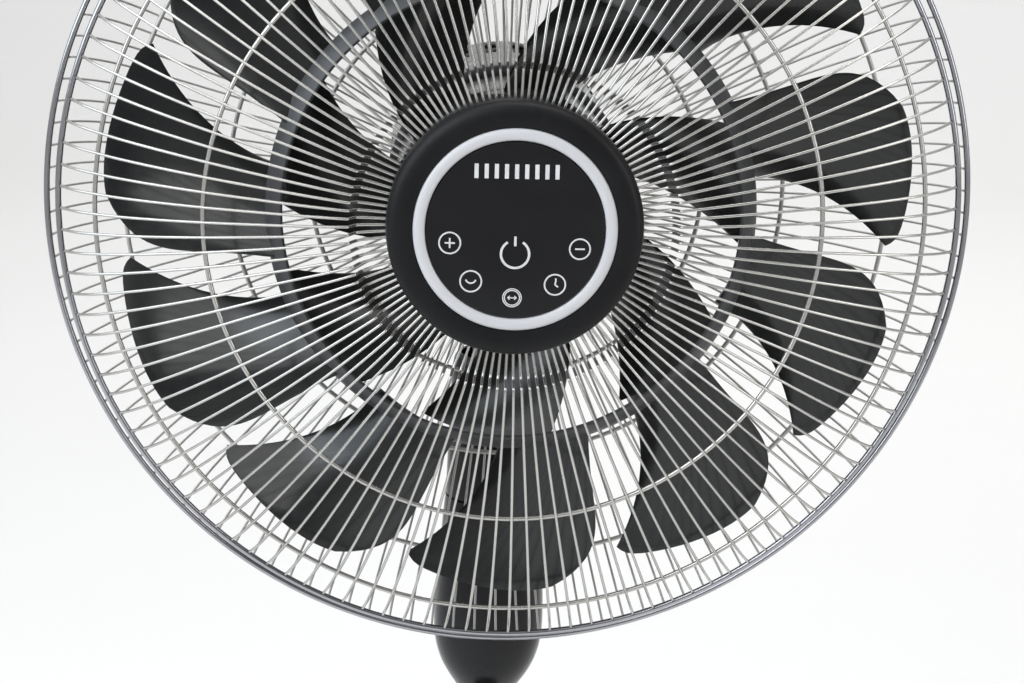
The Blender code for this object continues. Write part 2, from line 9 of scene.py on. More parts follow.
import json
import logging
import math
from dataclasses import dataclass, field
from enum import Enum
from typing import Callable, Iterable, Sequence

import bmesh
import bpy
from mathutils import Matrix, Vector


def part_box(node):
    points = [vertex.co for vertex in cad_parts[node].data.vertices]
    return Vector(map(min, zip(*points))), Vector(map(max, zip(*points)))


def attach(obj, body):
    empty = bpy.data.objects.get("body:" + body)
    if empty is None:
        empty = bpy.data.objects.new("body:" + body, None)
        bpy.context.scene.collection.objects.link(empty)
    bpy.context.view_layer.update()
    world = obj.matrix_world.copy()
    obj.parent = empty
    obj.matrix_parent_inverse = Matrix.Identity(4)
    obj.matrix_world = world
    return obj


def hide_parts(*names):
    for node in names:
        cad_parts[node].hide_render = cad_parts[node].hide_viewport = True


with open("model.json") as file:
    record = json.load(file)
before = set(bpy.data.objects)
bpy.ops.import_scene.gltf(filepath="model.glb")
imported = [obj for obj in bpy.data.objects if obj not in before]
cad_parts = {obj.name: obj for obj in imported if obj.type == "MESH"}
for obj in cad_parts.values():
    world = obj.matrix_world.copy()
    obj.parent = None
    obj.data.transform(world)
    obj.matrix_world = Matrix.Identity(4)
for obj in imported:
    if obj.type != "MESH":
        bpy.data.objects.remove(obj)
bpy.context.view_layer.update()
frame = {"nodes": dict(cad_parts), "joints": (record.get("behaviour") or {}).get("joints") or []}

MM = 0.001
LOG = logging.getLogger("pedestal_fan")

Point = tuple[float, float, float]
Profile = Sequence[tuple[float, float]]
Outline = list[tuple[float, float]]
Feeds = dict[str | int, object]
Flute = Callable[[float, float, float], float]
BladePoint = Callable[[float, float], tuple[float, float, float]]


# --------------------------------------------------------------------------- frame lookups


def joint(name: str) -> dict:
    """The frame's joint of that name."""
    return next(item for item in frame["joints"] if item["name"] == name)


def node_span(node: str, side: int) -> tuple[float, float]:
    """Lowest and highest value of a frame node along one axis, in millimetres."""
    low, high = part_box(node)
    return low[side] / MM, high[side] / MM


def node_radius(node: str) -> float:
    """Half of a node's width across X, in millimetres."""
    low, high = node_span(node, 0)
    return (high - low) / 2


FAN_CENTRE = Vector(joint("fan_spin")["pos_m"]) / MM
TILT_PIVOT = Vector(joint("head_tilt")["pos_m"]) / MM


def head_depth(node: str) -> tuple[float, float]:
    """Rearmost and foremost depth of a head node along the fan axis, in millimetres."""
    low, high = node_span(node, 1)
    return FAN_CENTRE.y - high, FAN_CENTRE.y - low


# --------------------------------------------------------------------------- shader groups


class Socket(Enum):
    """The kinds of group socket that the shader groups use."""

    VALUE = "NodeSocketFloat"
    COLOUR = "NodeSocketColor"


def add_node(
    tree: bpy.types.NodeTree, kind: str, feeds: Feeds | None = None, **settings: object
) -> bpy.types.Node:
    """Adds a node, sets its attributes and feeds its inputs.

    Args:
        tree: the node tree it goes in.
        kind: the node's type name without its ShaderNode prefix.
        feeds: by input name or number, the socket that is linked to it or the value that it takes.
        **settings: attributes to set on it.

    Returns:
        The new node.
    """
    node = tree.nodes.new("ShaderNode" + kind)
    for label, value in settings.items():
        setattr(node, label, value)
    for label, source in (feeds or {}).items():
        if isinstance(source, bpy.types.NodeSocket):
            tree.links.new(source, node.inputs[label])
        else:
            node.inputs[label].default_value = source
    return node


class GroupMaker:
    """Builds one shader node group with named inputs and outputs.

    Args:
        name: the group's name.
        inputs: each input's name, kind and default.
        outputs: each output's name and kind.
    """

    def __init__(
        self, name: str, inputs: Iterable[tuple[str, Socket, object]], outputs: Iterable[tuple[str, Socket]]
    ) -> None:
        """Opens the group and its two end nodes."""
        self.tree = bpy.data.node_groups.new(name, "ShaderNodeTree")
        for label, kind, value in inputs:
            socket = self.tree.interface.new_socket(label, in_out="INPUT", socket_type=kind.value)
            socket.default_value = value
        for label, kind in outputs:
            self.tree.interface.new_socket(label, in_out="OUTPUT", socket_type=kind.value)
        self.given = self.tree.nodes.new("NodeGroupInput").outputs
        self.end = self.tree.nodes.new("NodeGroupOutput")

    def node(self, kind: str, feeds: Feeds | None = None, **settings: object) -> bpy.types.Node:
        """A new node of that kind, fed and set."""
        return add_node(self.tree, kind, feeds, **settings)

    def math(self, operation: str, *terms: object, clamp: bool = False) -> bpy.types.NodeSocket:
        """The result of one sum on sockets or numbers."""
        return self.node("Math", dict(enumerate(terms)), operation=operation, use_clamp=clamp).outputs[0]

    def place(self) -> bpy.types.NodeSocket:
        """Where a point lies on its object."""
        return self.node("TexCoord").outputs["Object"]

    def closed(self, **results: bpy.types.NodeSocket) -> bpy.types.NodeTree:
        """Links the results to the group's outputs and gives the finished group."""
        for label, source in results.items():
            self.tree.links.new(source, self.end.inputs[label])
        return self.tree


def mottle_group() -> bpy.types.NodeTree:
    """Two colours mixed by soft noise, for the uneven tone of any real surface.

    Returns:
        A group with inputs Colour A, Colour B, Scale and Contrast, and outputs Colour and Mask.
    """
    group = GroupMaker(
        "mottle",
        [
            ("Colour A", Socket.COLOUR, (0.5, 0.5, 0.5, 1)),
            ("Colour B", Socket.COLOUR, (0.4, 0.4, 0.4, 1)),
            ("Scale", Socket.VALUE, 20.0),
            ("Contrast", Socket.VALUE, 1.0),
        ],
        [("Colour", Socket.COLOUR), ("Mask", Socket.VALUE)],
    )
    given = group.given
    noise = group.node(
        "TexNoise", {"Vector": group.place(), "Scale": given["Scale"], "Detail": 6.0, "Roughness": 0.6}
    )
    centred = group.math("SUBTRACT", noise.outputs["Fac"], 0.5)
    mask = group.math("MULTIPLY_ADD", centred, given["Contrast"], 0.5, clamp=True)
    mix = group.node("Mix", {"Factor": mask, 6: given["Colour A"], 7: given["Colour B"]}, data_type="RGBA")
    return group.closed(Colour=mix.outputs[2], Mask=mask)


def grain_group() -> bpy.types.NodeTree:
    """Fine moulded grain as a height, with a rough map that follows it.

    Returns:
        A group with inputs Scale, Low and High, and outputs Height and Roughness.
    """
    group = GroupMaker(
        "fine_grain",
        [("Scale", Socket.VALUE, 900.0), ("Low", Socket.VALUE, 0.3), ("High", Socket.VALUE, 0.45)],
        [("Height", Socket.VALUE), ("Roughness", Socket.VALUE)],
    )
    given, place = group.given, group.place()
    cells = group.node("TexVoronoi", {"Vector": place, "Scale": given["Scale"]}, feature="SMOOTH_F1")
    coarse = group.math("MULTIPLY", given["Scale"], 0.35)
    noise = group.node("TexNoise", {"Vector": place, "Scale": coarse, "Detail": 3.0}).outputs["Fac"]
    height = group.math("ADD", cells.outputs["Distance"], noise)
    ends = {"From Min": 0.3, "From Max": 0.7, "To Min": given["Low"], "To Max": given["High"]}
    spread = group.node("MapRange", {"Value": noise, **ends})
    return group.closed(Height=height, Roughness=spread.outputs["Result"])


def dust_group() -> bpy.types.NodeTree:
    """Light dust that settles on faces turned up, broken by noise.

    Returns:
        A group with inputs Amount and Scale, and one output, Mask.
    """
    group = GroupMaker(
        "settled_dust",
        [("Amount", Socket.VALUE, 0.2), ("Scale", Socket.VALUE, 60.0)],
        [("Mask", Socket.VALUE)],
    )
    given = group.given
    facing = group.node("SeparateXYZ", {0: group.node("NewGeometry").outputs["Normal"]})
    upward = group.node("MapRange", {"Value": facing.outputs["Z"], "From Min": 0.2, "From Max": 1.0})
    noise = group.node(
        "TexNoise", {"Vector": group.place(), "Scale": given["Scale"], "Detail": 8.0, "Roughness": 0.75}
    )
    broken = group.math("MULTIPLY", upward.outputs["Result"], noise.outputs["Fac"])
    return group.closed(Mask=group.math("MULTIPLY", broken, given["Amount"], clamp=True))


def scratch_group() -> bpy.types.NodeTree:
    """Fine drawn lines along one direction, as on plated tube, brushed steel or wound copper.

    Returns:
        A group with inputs Along, Across and Tall (the scale on each axis), and output Lines.
    """
    group = GroupMaker(
        "drawn_lines",
        [("Along", Socket.VALUE, 20.0), ("Across", Socket.VALUE, 900.0), ("Tall", Socket.VALUE, 900.0)],
        [("Lines", Socket.VALUE)],
    )
    given = group.given
    scale = group.node("CombineXYZ", {"X": given["Along"], "Y": given["Across"], "Z": given["Tall"]})
    stretch = group.node("VectorMath", {0: group.place(), 1: scale.outputs[0]}, operation="MULTIPLY")
    noise = group.node("TexNoise", {"Vector": stretch.outputs[0], "Scale": 1.0, "Detail": 4.0})
    return group.closed(Lines=noise.outputs["Fac"])


class Effects:
    """The shared shader groups, each built once."""

    def __init__(self) -> None:
        """Builds every group."""
        self.mottle = mottle_group()
        self.grain = grain_group()
        self.dust = dust_group()
        self.lines = scratch_group()


# --------------------------------------------------------------------------- finishes


Colour = tuple[float, float, float]
BUMP_STRENGTH = 0.6


@dataclass(frozen=True)
class Finish:
    """One surface finish, from which a material is built.

    Args:
        name: the material's name.
        slot: the record's material slot that it belongs to; nothing here uses it.
        tone: the main colour.
        shade: the second colour of the mottling.
        rough: lowest and highest roughness.
        metallic: 1 for bare metal, else 0.
        patch: scale of the mottling.
        contrast: how sharply the two tones part.
        grain: scale of the fine grain.
        relief: depth of the grain, in metres.
        dust: how much dust lies on faces turned up.
        coat: clear coat weight.
        coat_rough: clear coat roughness.
        shine: strength of the plain reflection, 0.5 being that of most plastics.
        lines: scale of drawn lines on X, Y and Z, or None for none.
        dust_tone: colour of the dust.
    """

    name: str
    slot: str
    tone: Colour
    shade: Colour
    rough: tuple[float, float]
    metallic: float = 0.0
    patch: float = 18.0
    contrast: float = 2.0
    grain: float = 1500.0
    relief: float = 0.00002
    dust: float = 0.0
    coat: float = 0.0
    coat_rough: float = 0.05
    shine: float = 0.5
    lines: tuple[float, float, float] | None = None
    dust_tone: Colour = (0.45, 0.44, 0.42)

    def build(self, effects: Effects) -> bpy.types.Material:
        """Makes the material.

        Args:
            effects: the shared shader groups.

        Returns:
            The new material.
        """
        material = bpy.data.materials.new(self.name)
        material.use_nodes = True
        tree = material.node_tree
        shader = tree.nodes["Principled BSDF"]
        shader.inputs["Metallic"].default_value = self.metallic
        shader.inputs["Coat Weight"].default_value = self.coat
        shader.inputs["Coat Roughness"].default_value = self.coat_rough
        shader.inputs["Specular IOR Level"].default_value = self.shine
        tones = {"Colour A": (*self.tone, 1), "Colour B": (*self.shade, 1)}
        tones |= {"Scale": self.patch, "Contrast": self.contrast}
        mottle = self._group(tree, effects.mottle, tones)
        low, high = self.rough
        grain = self._group(tree, effects.grain, {"Scale": self.grain, "Low": low, "High": high})
        colour, rough = mottle.outputs["Colour"], grain.outputs["Roughness"]
        height = grain.outputs["Height"]
        if self.lines:
            scales = dict(zip(("Along", "Across", "Tall"), self.lines))
            height = self._group(tree, effects.lines, scales).outputs["Lines"]
        if self.dust:
            colour, rough = self._dusted(tree, effects, colour, rough)
        tree.links.new(colour, shader.inputs["Base Color"])
        tree.links.new(rough, shader.inputs["Roughness"])
        relief = {"Strength": BUMP_STRENGTH, "Distance": self.relief, "Height": height}
        bump = add_node(tree, "Bump", relief)
        tree.links.new(bump.outputs["Normal"], shader.inputs["Normal"])
        return material

    def _group(self, tree: bpy.types.NodeTree, group: bpy.types.NodeTree, feeds: Feeds) -> bpy.types.Node:
        """Places one of the shared groups in the material with its own values."""
        return add_node(tree, "Group", feeds, node_tree=group)

    def _dusted(
        self,
        tree: bpy.types.NodeTree,
        effects: Effects,
        colour: bpy.types.NodeSocket,
        rough: bpy.types.NodeSocket,
    ) -> tuple[bpy.types.NodeSocket, bpy.types.NodeSocket]:
        """Lays dust over a colour and a roughness.

        Args:
            tree: the material's tree.
            effects: the shared shader groups.
            colour: the clean colour.
            rough: the clean roughness.

        Returns:
            The dusted colour and roughness.
        """
        dust = self._group(tree, effects.dust, {"Amount": self.dust}).outputs["Mask"]
        tint = add_node(tree, "Mix", {"Factor": dust, 6: colour, 7: (*self.dust_tone, 1)}, data_type="RGBA")
        dull = add_node(tree, "Math", {0: rough, 1: dust}, operation="ADD", use_clamp=True)
        return tint.outputs[2], dull.outputs[0]


PLATED_WIRE = Finish(
    "plated_wire", "chrome_wire", (0.52, 0.51, 0.485), (0.44, 0.43, 0.41), (0.18, 0.28), 0.86,
    patch=45, contrast=1.5, grain=1200, relief=0.000001,
)
# Painted shade: the rim is the same plated wire as the spokes and rings, but is given this darker, bluer
# tone for the darker look of its reflections.
RIM_PAINTED_SHADE = Finish(
    "rim_painted_shade", "chrome_wire", (0.40, 0.40, 0.42), (0.33, 0.33, 0.35), (0.12, 0.2), 1.0,
    patch=45, contrast=1.5, grain=1200, relief=0.000001,
)
PLATED_TUBE = Finish(
    "plated_tube", "chrome_wire", (0.66, 0.66, 0.65), (0.56, 0.56, 0.55), (0.08, 0.16), 1.0,
    patch=14, grain=1800, relief=0.000006, lines=(700, 700, 6),
)
GLOSS_BLACK = Finish(
    "gloss_black", "gloss_black", (0.006, 0.006, 0.007), (0.010, 0.010, 0.011), (0.14, 0.24),
    patch=9, relief=0.000003, grain=500, dust=0.04, shine=0.24,
)
SATIN_BLACK = Finish(
    "satin_black", "satin_black", (0.016, 0.017, 0.018), (0.023, 0.024, 0.026), (0.38, 0.5),
    patch=25, grain=1700, relief=0.00003, dust=0.1, shine=0.4,
)
CAP_CHARCOAL = Finish(
    "cap_charcoal", "satin_black", (0.004, 0.004, 0.0045), (0.007, 0.007, 0.008), (0.4, 0.54),
    patch=40, contrast=2.5, grain=1500, relief=0.00004, dust=0.01, shine=0.2,
)
PANEL_GLOSS = Finish(
    "panel_gloss", "gloss_black", (0.005, 0.005, 0.006), (0.008, 0.008, 0.009), (0.06, 0.14),
    patch=30, contrast=3, relief=0.000002, grain=600, shine=0.28,
)
RING_GREY = Finish(
    "ring_grey", "ring_grey", (0.56, 0.56, 0.575), (0.52, 0.52, 0.54), (0.3, 0.42),
    patch=30, grain=1500, relief=0.00001,
)
PRINTED_GREY = Finish(
    "printed_grey", "ring_grey", (0.66, 0.66, 0.66), (0.56, 0.56, 0.56), (0.45, 0.6),
    patch=160, contrast=3, grain=3000, relief=0.00001,
)
BLADE_BLACK = Finish(
    "blade_black", "blade_black", (0.009, 0.0095, 0.0095), (0.014, 0.0145, 0.0145), (0.16, 0.26),
    patch=9, contrast=1.2, grain=420, relief=0.000005, dust=0.03, coat=0.2, coat_rough=0.1, shine=0.36,
)
DULL_WIRE = Finish(
    "dull_wire", "chrome_wire", (0.55, 0.54, 0.515), (0.47, 0.46, 0.44), (0.3, 0.4), 0.45,
    patch=45, contrast=1.5, grain=1200, relief=0.000001,
)
# Painted sheen: the ring is the same black plastic as the blades, but is given this lighter grey for the
# light that its face reflects.
RING_PAINTED_SHEEN = Finish(
    "ring_painted_sheen", "blade_black", (0.045, 0.046, 0.048), (0.034, 0.035, 0.037), (0.3, 0.42),
    patch=12, contrast=1.5, grain=600, relief=0.00001,
)
BARE_STEEL = Finish(
    "bare_steel", "steel", (0.5, 0.5, 0.51), (0.38, 0.38, 0.39), (0.25, 0.4), 1.0,
    patch=60, grain=1500, relief=0.00002, lines=(900, 40, 900),
)
CAST_IRON = Finish(
    "cast_iron", "cast_iron", (0.07, 0.07, 0.072), (0.11, 0.10, 0.095), (0.6, 0.85), 0.6,
    patch=40, contrast=3, grain=500, relief=0.0003,
)
COPPER = Finish(
    "enamelled_copper", "copper", (0.55, 0.22, 0.09), (0.40, 0.14, 0.05), (0.25, 0.4), 1.0,
    patch=80, lines=(1600, 200, 1600), relief=0.0002,
)
RUBBER = Finish(
    "black_rubber", "rubber", (0.018, 0.018, 0.018), (0.028, 0.027, 0.026), (0.7, 0.85),
    patch=60, grain=1200, relief=0.00006, dust=0.2,
)
ACETAL = Finish(
    "natural_acetal", "white_plastic", (0.72, 0.71, 0.67), (0.64, 0.63, 0.59), (0.35, 0.5),
    patch=70, grain=1300, relief=0.00002,
)
BOARD = Finish(
    "circuit_board", "board_green", (0.008, 0.06, 0.028), (0.014, 0.09, 0.042), (0.3, 0.5),
    patch=180, contrast=6, grain=900, relief=0.00005,
)
FERRITE = Finish(
    "sintered_ferrite", "magnet", (0.05, 0.05, 0.055), (0.075, 0.072, 0.07), (0.5, 0.7), 0.4,
    patch=120, contrast=4, grain=1400, relief=0.00004,
)


class Paintbox:
    """Builds each finish's material when it is first asked for."""

    def __init__(self) -> None:
        """Builds the shared effects."""
        self.effects = Effects()
        self.made: dict[str, bpy.types.Material] = {}

    def material(self, finish: Finish) -> bpy.types.Material:
        """The material of that finish."""
        if finish.name not in self.made:
            self.made[finish.name] = finish.build(self.effects)
        return self.made[finish.name]


# --------------------------------------------------------------------------- mesh making


class Along(Enum):
    """The axis that a turned shape stands on, as the matrix that puts it there."""

    UP = "up"
    FORWARD = "forward"
    ACROSS = "across"

    def matrix(self, origin: Vector) -> Matrix:
        """Turns a shape made on +Z to this axis and puts it at origin, in millimetres."""
        turn = {
            Along.UP: Matrix.Identity(4),
            Along.FORWARD: Matrix.Rotation(math.radians(90), 4, "X"),
            Along.ACROSS: Matrix.Rotation(math.radians(90), 4, "Y"),
        }[self]
        return Matrix.Translation(origin) @ turn


@dataclass
class MeshBook:
    """Vertices and faces gathered for one piece, in millimetres."""

    points: list[Point] = field(default_factory=list)
    faces: list[tuple[int, ...]] = field(default_factory=list)

    def add(self, points: Iterable[Sequence[float]], faces: Iterable[Sequence[int]]) -> None:
        """Adds vertices, and faces that count from the first of them."""
        start = len(self.points)
        self.points.extend(tuple(point) for point in points)
        self.faces.extend(tuple(start + index for index in face) for face in faces)

    def turned(
        self,
        profile: Profile,
        segments: int = 96,
        ring: bool = False,
        flute: Flute | None = None,
    ) -> None:
        """Adds a profile of (radius, height) turned about Z.

        Args:
            profile: points from the top of the outside downwards.
            segments: how many columns the turn has.
            ring: whether the profile closes on itself, with a hole in the middle.
            flute: changes a point's radius, given its radius, height and angle.
        """
        rows = len(profile)
        points: list[Point] = []
        index: list[list[int]] = []
        for radius, height in profile:
            if radius < 1e-6:
                index.append([len(points)] * segments)
                points.append((0.0, 0.0, height))
                continue
            index.append(list(range(len(points), len(points) + segments)))
            for column in range(segments):
                angle = column * math.tau / segments
                reach = flute(radius, height, angle) if flute else radius
                points.append((reach * math.cos(angle), reach * math.sin(angle), height))
        faces = []
        for row in range(rows if ring else rows - 1):
            upper, lower = index[row], index[(row + 1) % rows]
            for column in range(segments):
                after = (column + 1) % segments
                corners = [upper[column], lower[column], lower[after], upper[after]]
                face = list(dict.fromkeys(corners))
                if len(face) > 2:
                    faces.append(face)
        self.add(points, faces)

    def tube(self, path: Sequence[Vector], radius: float, sides: int = 8, closed: bool = False) -> None:
        """Adds a round wire along a path, with its ends capped unless it is closed.

        Args:
            path: points along the middle of the wire.
            radius: the wire's radius.
            sides: how many sides the wire has.
            closed: whether the wire is a loop.
        """
        count = len(path)
        points: list[Vector] = []
        side = None
        for step in range(count):
            before = path[step - 1] if step or closed else path[step]
            after = path[(step + 1) % count] if step < count - 1 or closed else path[step]
            ahead = (after - before).normalized()
            if side is None:
                side = ahead.orthogonal().normalized()
            side = (side - ahead * side.dot(ahead)).normalized()
            other = ahead.cross(side)
            for corner in range(sides):
                angle = corner * math.tau / sides
                points.append(path[step] + (side * math.cos(angle) + other * math.sin(angle)) * radius)
        faces = []
        for step in range(count if closed else count - 1):
            here, there = step * sides, ((step + 1) % count) * sides
            for corner in range(sides):
                after = (corner + 1) % sides
                faces.append((here + corner, here + after, there + after, there + corner))
        if not closed:
            faces.append(tuple(reversed(range(sides))))
            faces.append(tuple((count - 1) * sides + corner for corner in range(sides)))
        self.add(points, faces)

    def prism(self, outline: Sequence[tuple[float, float]], bottom: float, top: float) -> None:
        """Adds a flat outline in X and Y, counter-clockwise, made solid from bottom to top."""
        count = len(outline)
        points = [(x, y, bottom) for x, y in outline] + [(x, y, top) for x, y in outline]
        faces: list[tuple[int, ...]] = [tuple(reversed(range(count))), tuple(range(count, 2 * count))]
        for corner in range(count):
            after = (corner + 1) % count
            faces.append((corner, after, count + after, count + corner))
        self.add(points, faces)

    def moved(self, matrix: Matrix, start: int = 0) -> None:
        """Moves every vertex from the one numbered start onwards."""
        self.points[start:] = [tuple(matrix @ Vector(point)) for point in self.points[start:]]


def smooth_path(stations: Sequence[Vector], steps: int) -> list[Vector]:
    """A Catmull-Rom curve through the stations.

    Args:
        stations: points that the curve passes through.
        steps: how many points it has between two stations.

    Returns:
        The curve's points, with both ends.
    """
    ends = [stations[0] * 2 - stations[1], *stations, stations[-1] * 2 - stations[-2]]
    curve = []
    for a, b, c, d in zip(ends, ends[1:], ends[2:], ends[3:]):
        for step in range(steps):
            t = step / steps
            square, cube = 2 * a - 5 * b + 4 * c - d, 3 * b - a - 3 * c + d
            curve.append(0.5 * (2 * b + (c - a) * t + square * t**2 + cube * t**3))
    return [*curve, stations[-1]]


def arc(centre: tuple[float, float], radius: float, start: float, sweep: float, steps: int) -> Outline:
    """Points of an arc, with both ends; angles are in degrees."""
    angles = [math.radians(start + sweep * step / steps) for step in range(steps + 1)]
    x, y = centre
    return [(x + radius * math.cos(angle), y + radius * math.sin(angle)) for angle in angles]


def head_point(radius: float, degrees: float, depth: float) -> Vector:
    """The place of a head point given by radius, angle and depth, in millimetres."""
    angle = math.radians(degrees)
    return FAN_CENTRE + Vector((radius * math.cos(angle), -depth, radius * math.sin(angle)))


HEAD = Along.FORWARD.matrix(FAN_CENTRE)


class Workshop:
    """Turns gathered meshes into named pieces that ride on the frame's bodies."""

    def __init__(self) -> None:
        """Opens the paintbox and the count of pieces made."""
        self.paints = Paintbox()
        self.count = 0

    def piece(
        self,
        name: str,
        book: MeshBook,
        finish: Finish,
        body: str,
        replaces: Sequence[str] = (),
        place: Matrix | None = None,
        sharp: float = 35.0,
        bevel: float = 0.0,
    ) -> bpy.types.Object:
        """Makes one piece.

        Args:
            name: the piece's name.
            book: its vertices and faces, in millimetres.
            finish: its surface.
            body: the frame's body that carries it.
            replaces: frame nodes that it stands for.
            place: moves the mesh to its place, in millimetres.
            sharp: edges sharper than this many degrees are not smoothed.
            bevel: width of the rounding on sharp edges, in millimetres.

        Returns:
            The new object.
        """
        if place is not None:
            book.moved(place)
        mesh = self._mesh(name, book)
        mesh.materials.append(self.paints.material(finish))
        mesh.shade_smooth()
        mesh.set_sharp_from_angle(angle=math.radians(sharp))
        made = bpy.data.objects.new(name, mesh)
        bpy.context.scene.collection.objects.link(made)
        if bevel:
            rounding = made.modifiers.new("rounding", "BEVEL")
            rounding.width = bevel * MM
            rounding.segments = 3
            rounding.limit_method = "ANGLE"
            rounding.angle_limit = math.radians(30)
            rounding.harden_normals = True
        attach(made, body)
        if replaces:
            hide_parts(*replaces)
        self.count += 1
        LOG.info("%s: %d faces, rides on %s", name, len(mesh.polygons), body)
        return made

    def turned(
        self,
        name: str,
        profile: Profile,
        finish: Finish,
        body: str,
        replaces: Sequence[str] = (),
        place: Matrix | None = None,
        segments: int = 96,
        ring: bool = True,
        flute: Flute | None = None,
        sharp: float = 35.0,
    ) -> bpy.types.Object:
        """Makes one piece from a turned profile.

        Args:
            profile, segments, ring, flute: as MeshBook.turned takes them.
            name, finish, body, replaces, place, sharp: as piece takes them.

        Returns:
            The new object.
        """
        book = MeshBook()
        book.turned(profile, segments, ring, flute)
        return self.piece(name, book, finish, body, replaces, place, sharp)

    def _mesh(self, name: str, book: MeshBook) -> bpy.types.Mesh:
        """The gathered faces as a mesh in metres, all turned outwards."""
        mesh = bpy.data.meshes.new(name)
        mesh.from_pydata([Vector(point) * MM for point in book.points], [], book.faces)
        faces = bmesh.new()
        faces.from_mesh(mesh)
        bmesh.ops.recalc_face_normals(faces, faces=faces.faces)
        faces.to_mesh(mesh)
        faces.free()
        return mesh

    def repaint(self, node: str, finish: Finish) -> None:
        """Gives a frame node that stays in view its finish."""
        mesh = frame["nodes"][node].data
        mesh.materials.clear()
        mesh.materials.append(self.paints.material(finish))
        LOG.info("%s: repainted %s", node, finish.name)

    def cut(self, piece: bpy.types.Object, cutters: Sequence[MeshBook]) -> None:
        """Takes closed shapes away from a piece and keeps the result as its mesh.

        Args:
            piece: the piece that is cut.
            cutters: the shapes taken away, in millimetres and in place.
        """
        for number, book in enumerate(cutters):
            mesh = self._mesh(f"{piece.name}_cutter_{number}", book)
            tool = bpy.data.objects.new(mesh.name, mesh)
            bpy.context.scene.collection.objects.link(tool)
            away = piece.modifiers.new("cut", "BOOLEAN")
            away.operation = "DIFFERENCE"
            away.solver = "EXACT"
            away.object = tool
            piece.modifiers.move(len(piece.modifiers) - 1, 0)
            self._keep_cut(piece, away)
            bpy.data.objects.remove(tool, do_unlink=True)

    def _keep_cut(self, piece: bpy.types.Object, away: bpy.types.Modifier) -> None:
        """Replaces the piece's mesh by what the one cut leaves of it."""
        shown = {modifier.name: modifier.show_viewport for modifier in piece.modifiers}
        for modifier in piece.modifiers:
            modifier.show_viewport = modifier == away
        bpy.context.view_layer.update()
        graph = bpy.context.evaluated_depsgraph_get()
        kept = bpy.data.meshes.new_from_object(piece.evaluated_get(graph))
        kept.name = piece.data.name
        piece.data = kept
        piece.modifiers.remove(away)
        for modifier in piece.modifiers:
            modifier.show_viewport = shown[modifier.name]
        kept.shade_smooth()
        kept.set_sharp_from_angle(angle=math.radians(35))


def softened(profile: Profile, radius: float, closed: bool = False, steps: int = 4) -> Outline:
    """A profile with its corners rounded.

    Args:
        profile: points of (radius, height).
        radius: how far from a corner its rounding starts.
        closed: whether the profile joins up with itself.
        steps: how many pieces a rounding has.

    Returns:
        The rounded profile.
    """
    count = len(profile)
    result: Outline = []
    for here in range(count):
        if not closed and here in (0, count - 1):
            result.append(tuple(profile[here]))
            continue
        corner = Vector(profile[here])
        before = Vector(profile[here - 1]) - corner
        after = Vector(profile[(here + 1) % count]) - corner
        if math.pi - before.angle(after) < 0.25:
            result.append(tuple(corner))
            continue
        start = corner + before.normalized() * min(radius, before.length * 0.45)
        end = corner + after.normalized() * min(radius, after.length * 0.45)
        for step in range(steps + 1):
            share = step / steps
            result.append(tuple(start.lerp(corner, share).lerp(corner.lerp(end, share), share)))
    return result


def flowing(stations: Profile, steps: int = 6) -> Outline:
    """A smooth profile through the stations."""
    return [tuple(point) for point in smooth_path([Vector(station) for station in stations], steps)]


def bored_rod(outer: float, inner: float, top: float, bottom: float, edge: float) -> Outline:
    """The closed profile of a tube with rounded corners."""
    return softened([(outer, top), (outer, bottom), (inner, bottom), (inner, top)], edge, closed=True)


def solid_rod(radius: float, top: float, bottom: float, edge: float) -> Outline:
    """The profile of a solid rod with rounded corners."""
    return softened([(0, top), (radius, top), (radius, bottom), (0, bottom)], edge)


# --------------------------------------------------------------------------- base and pole


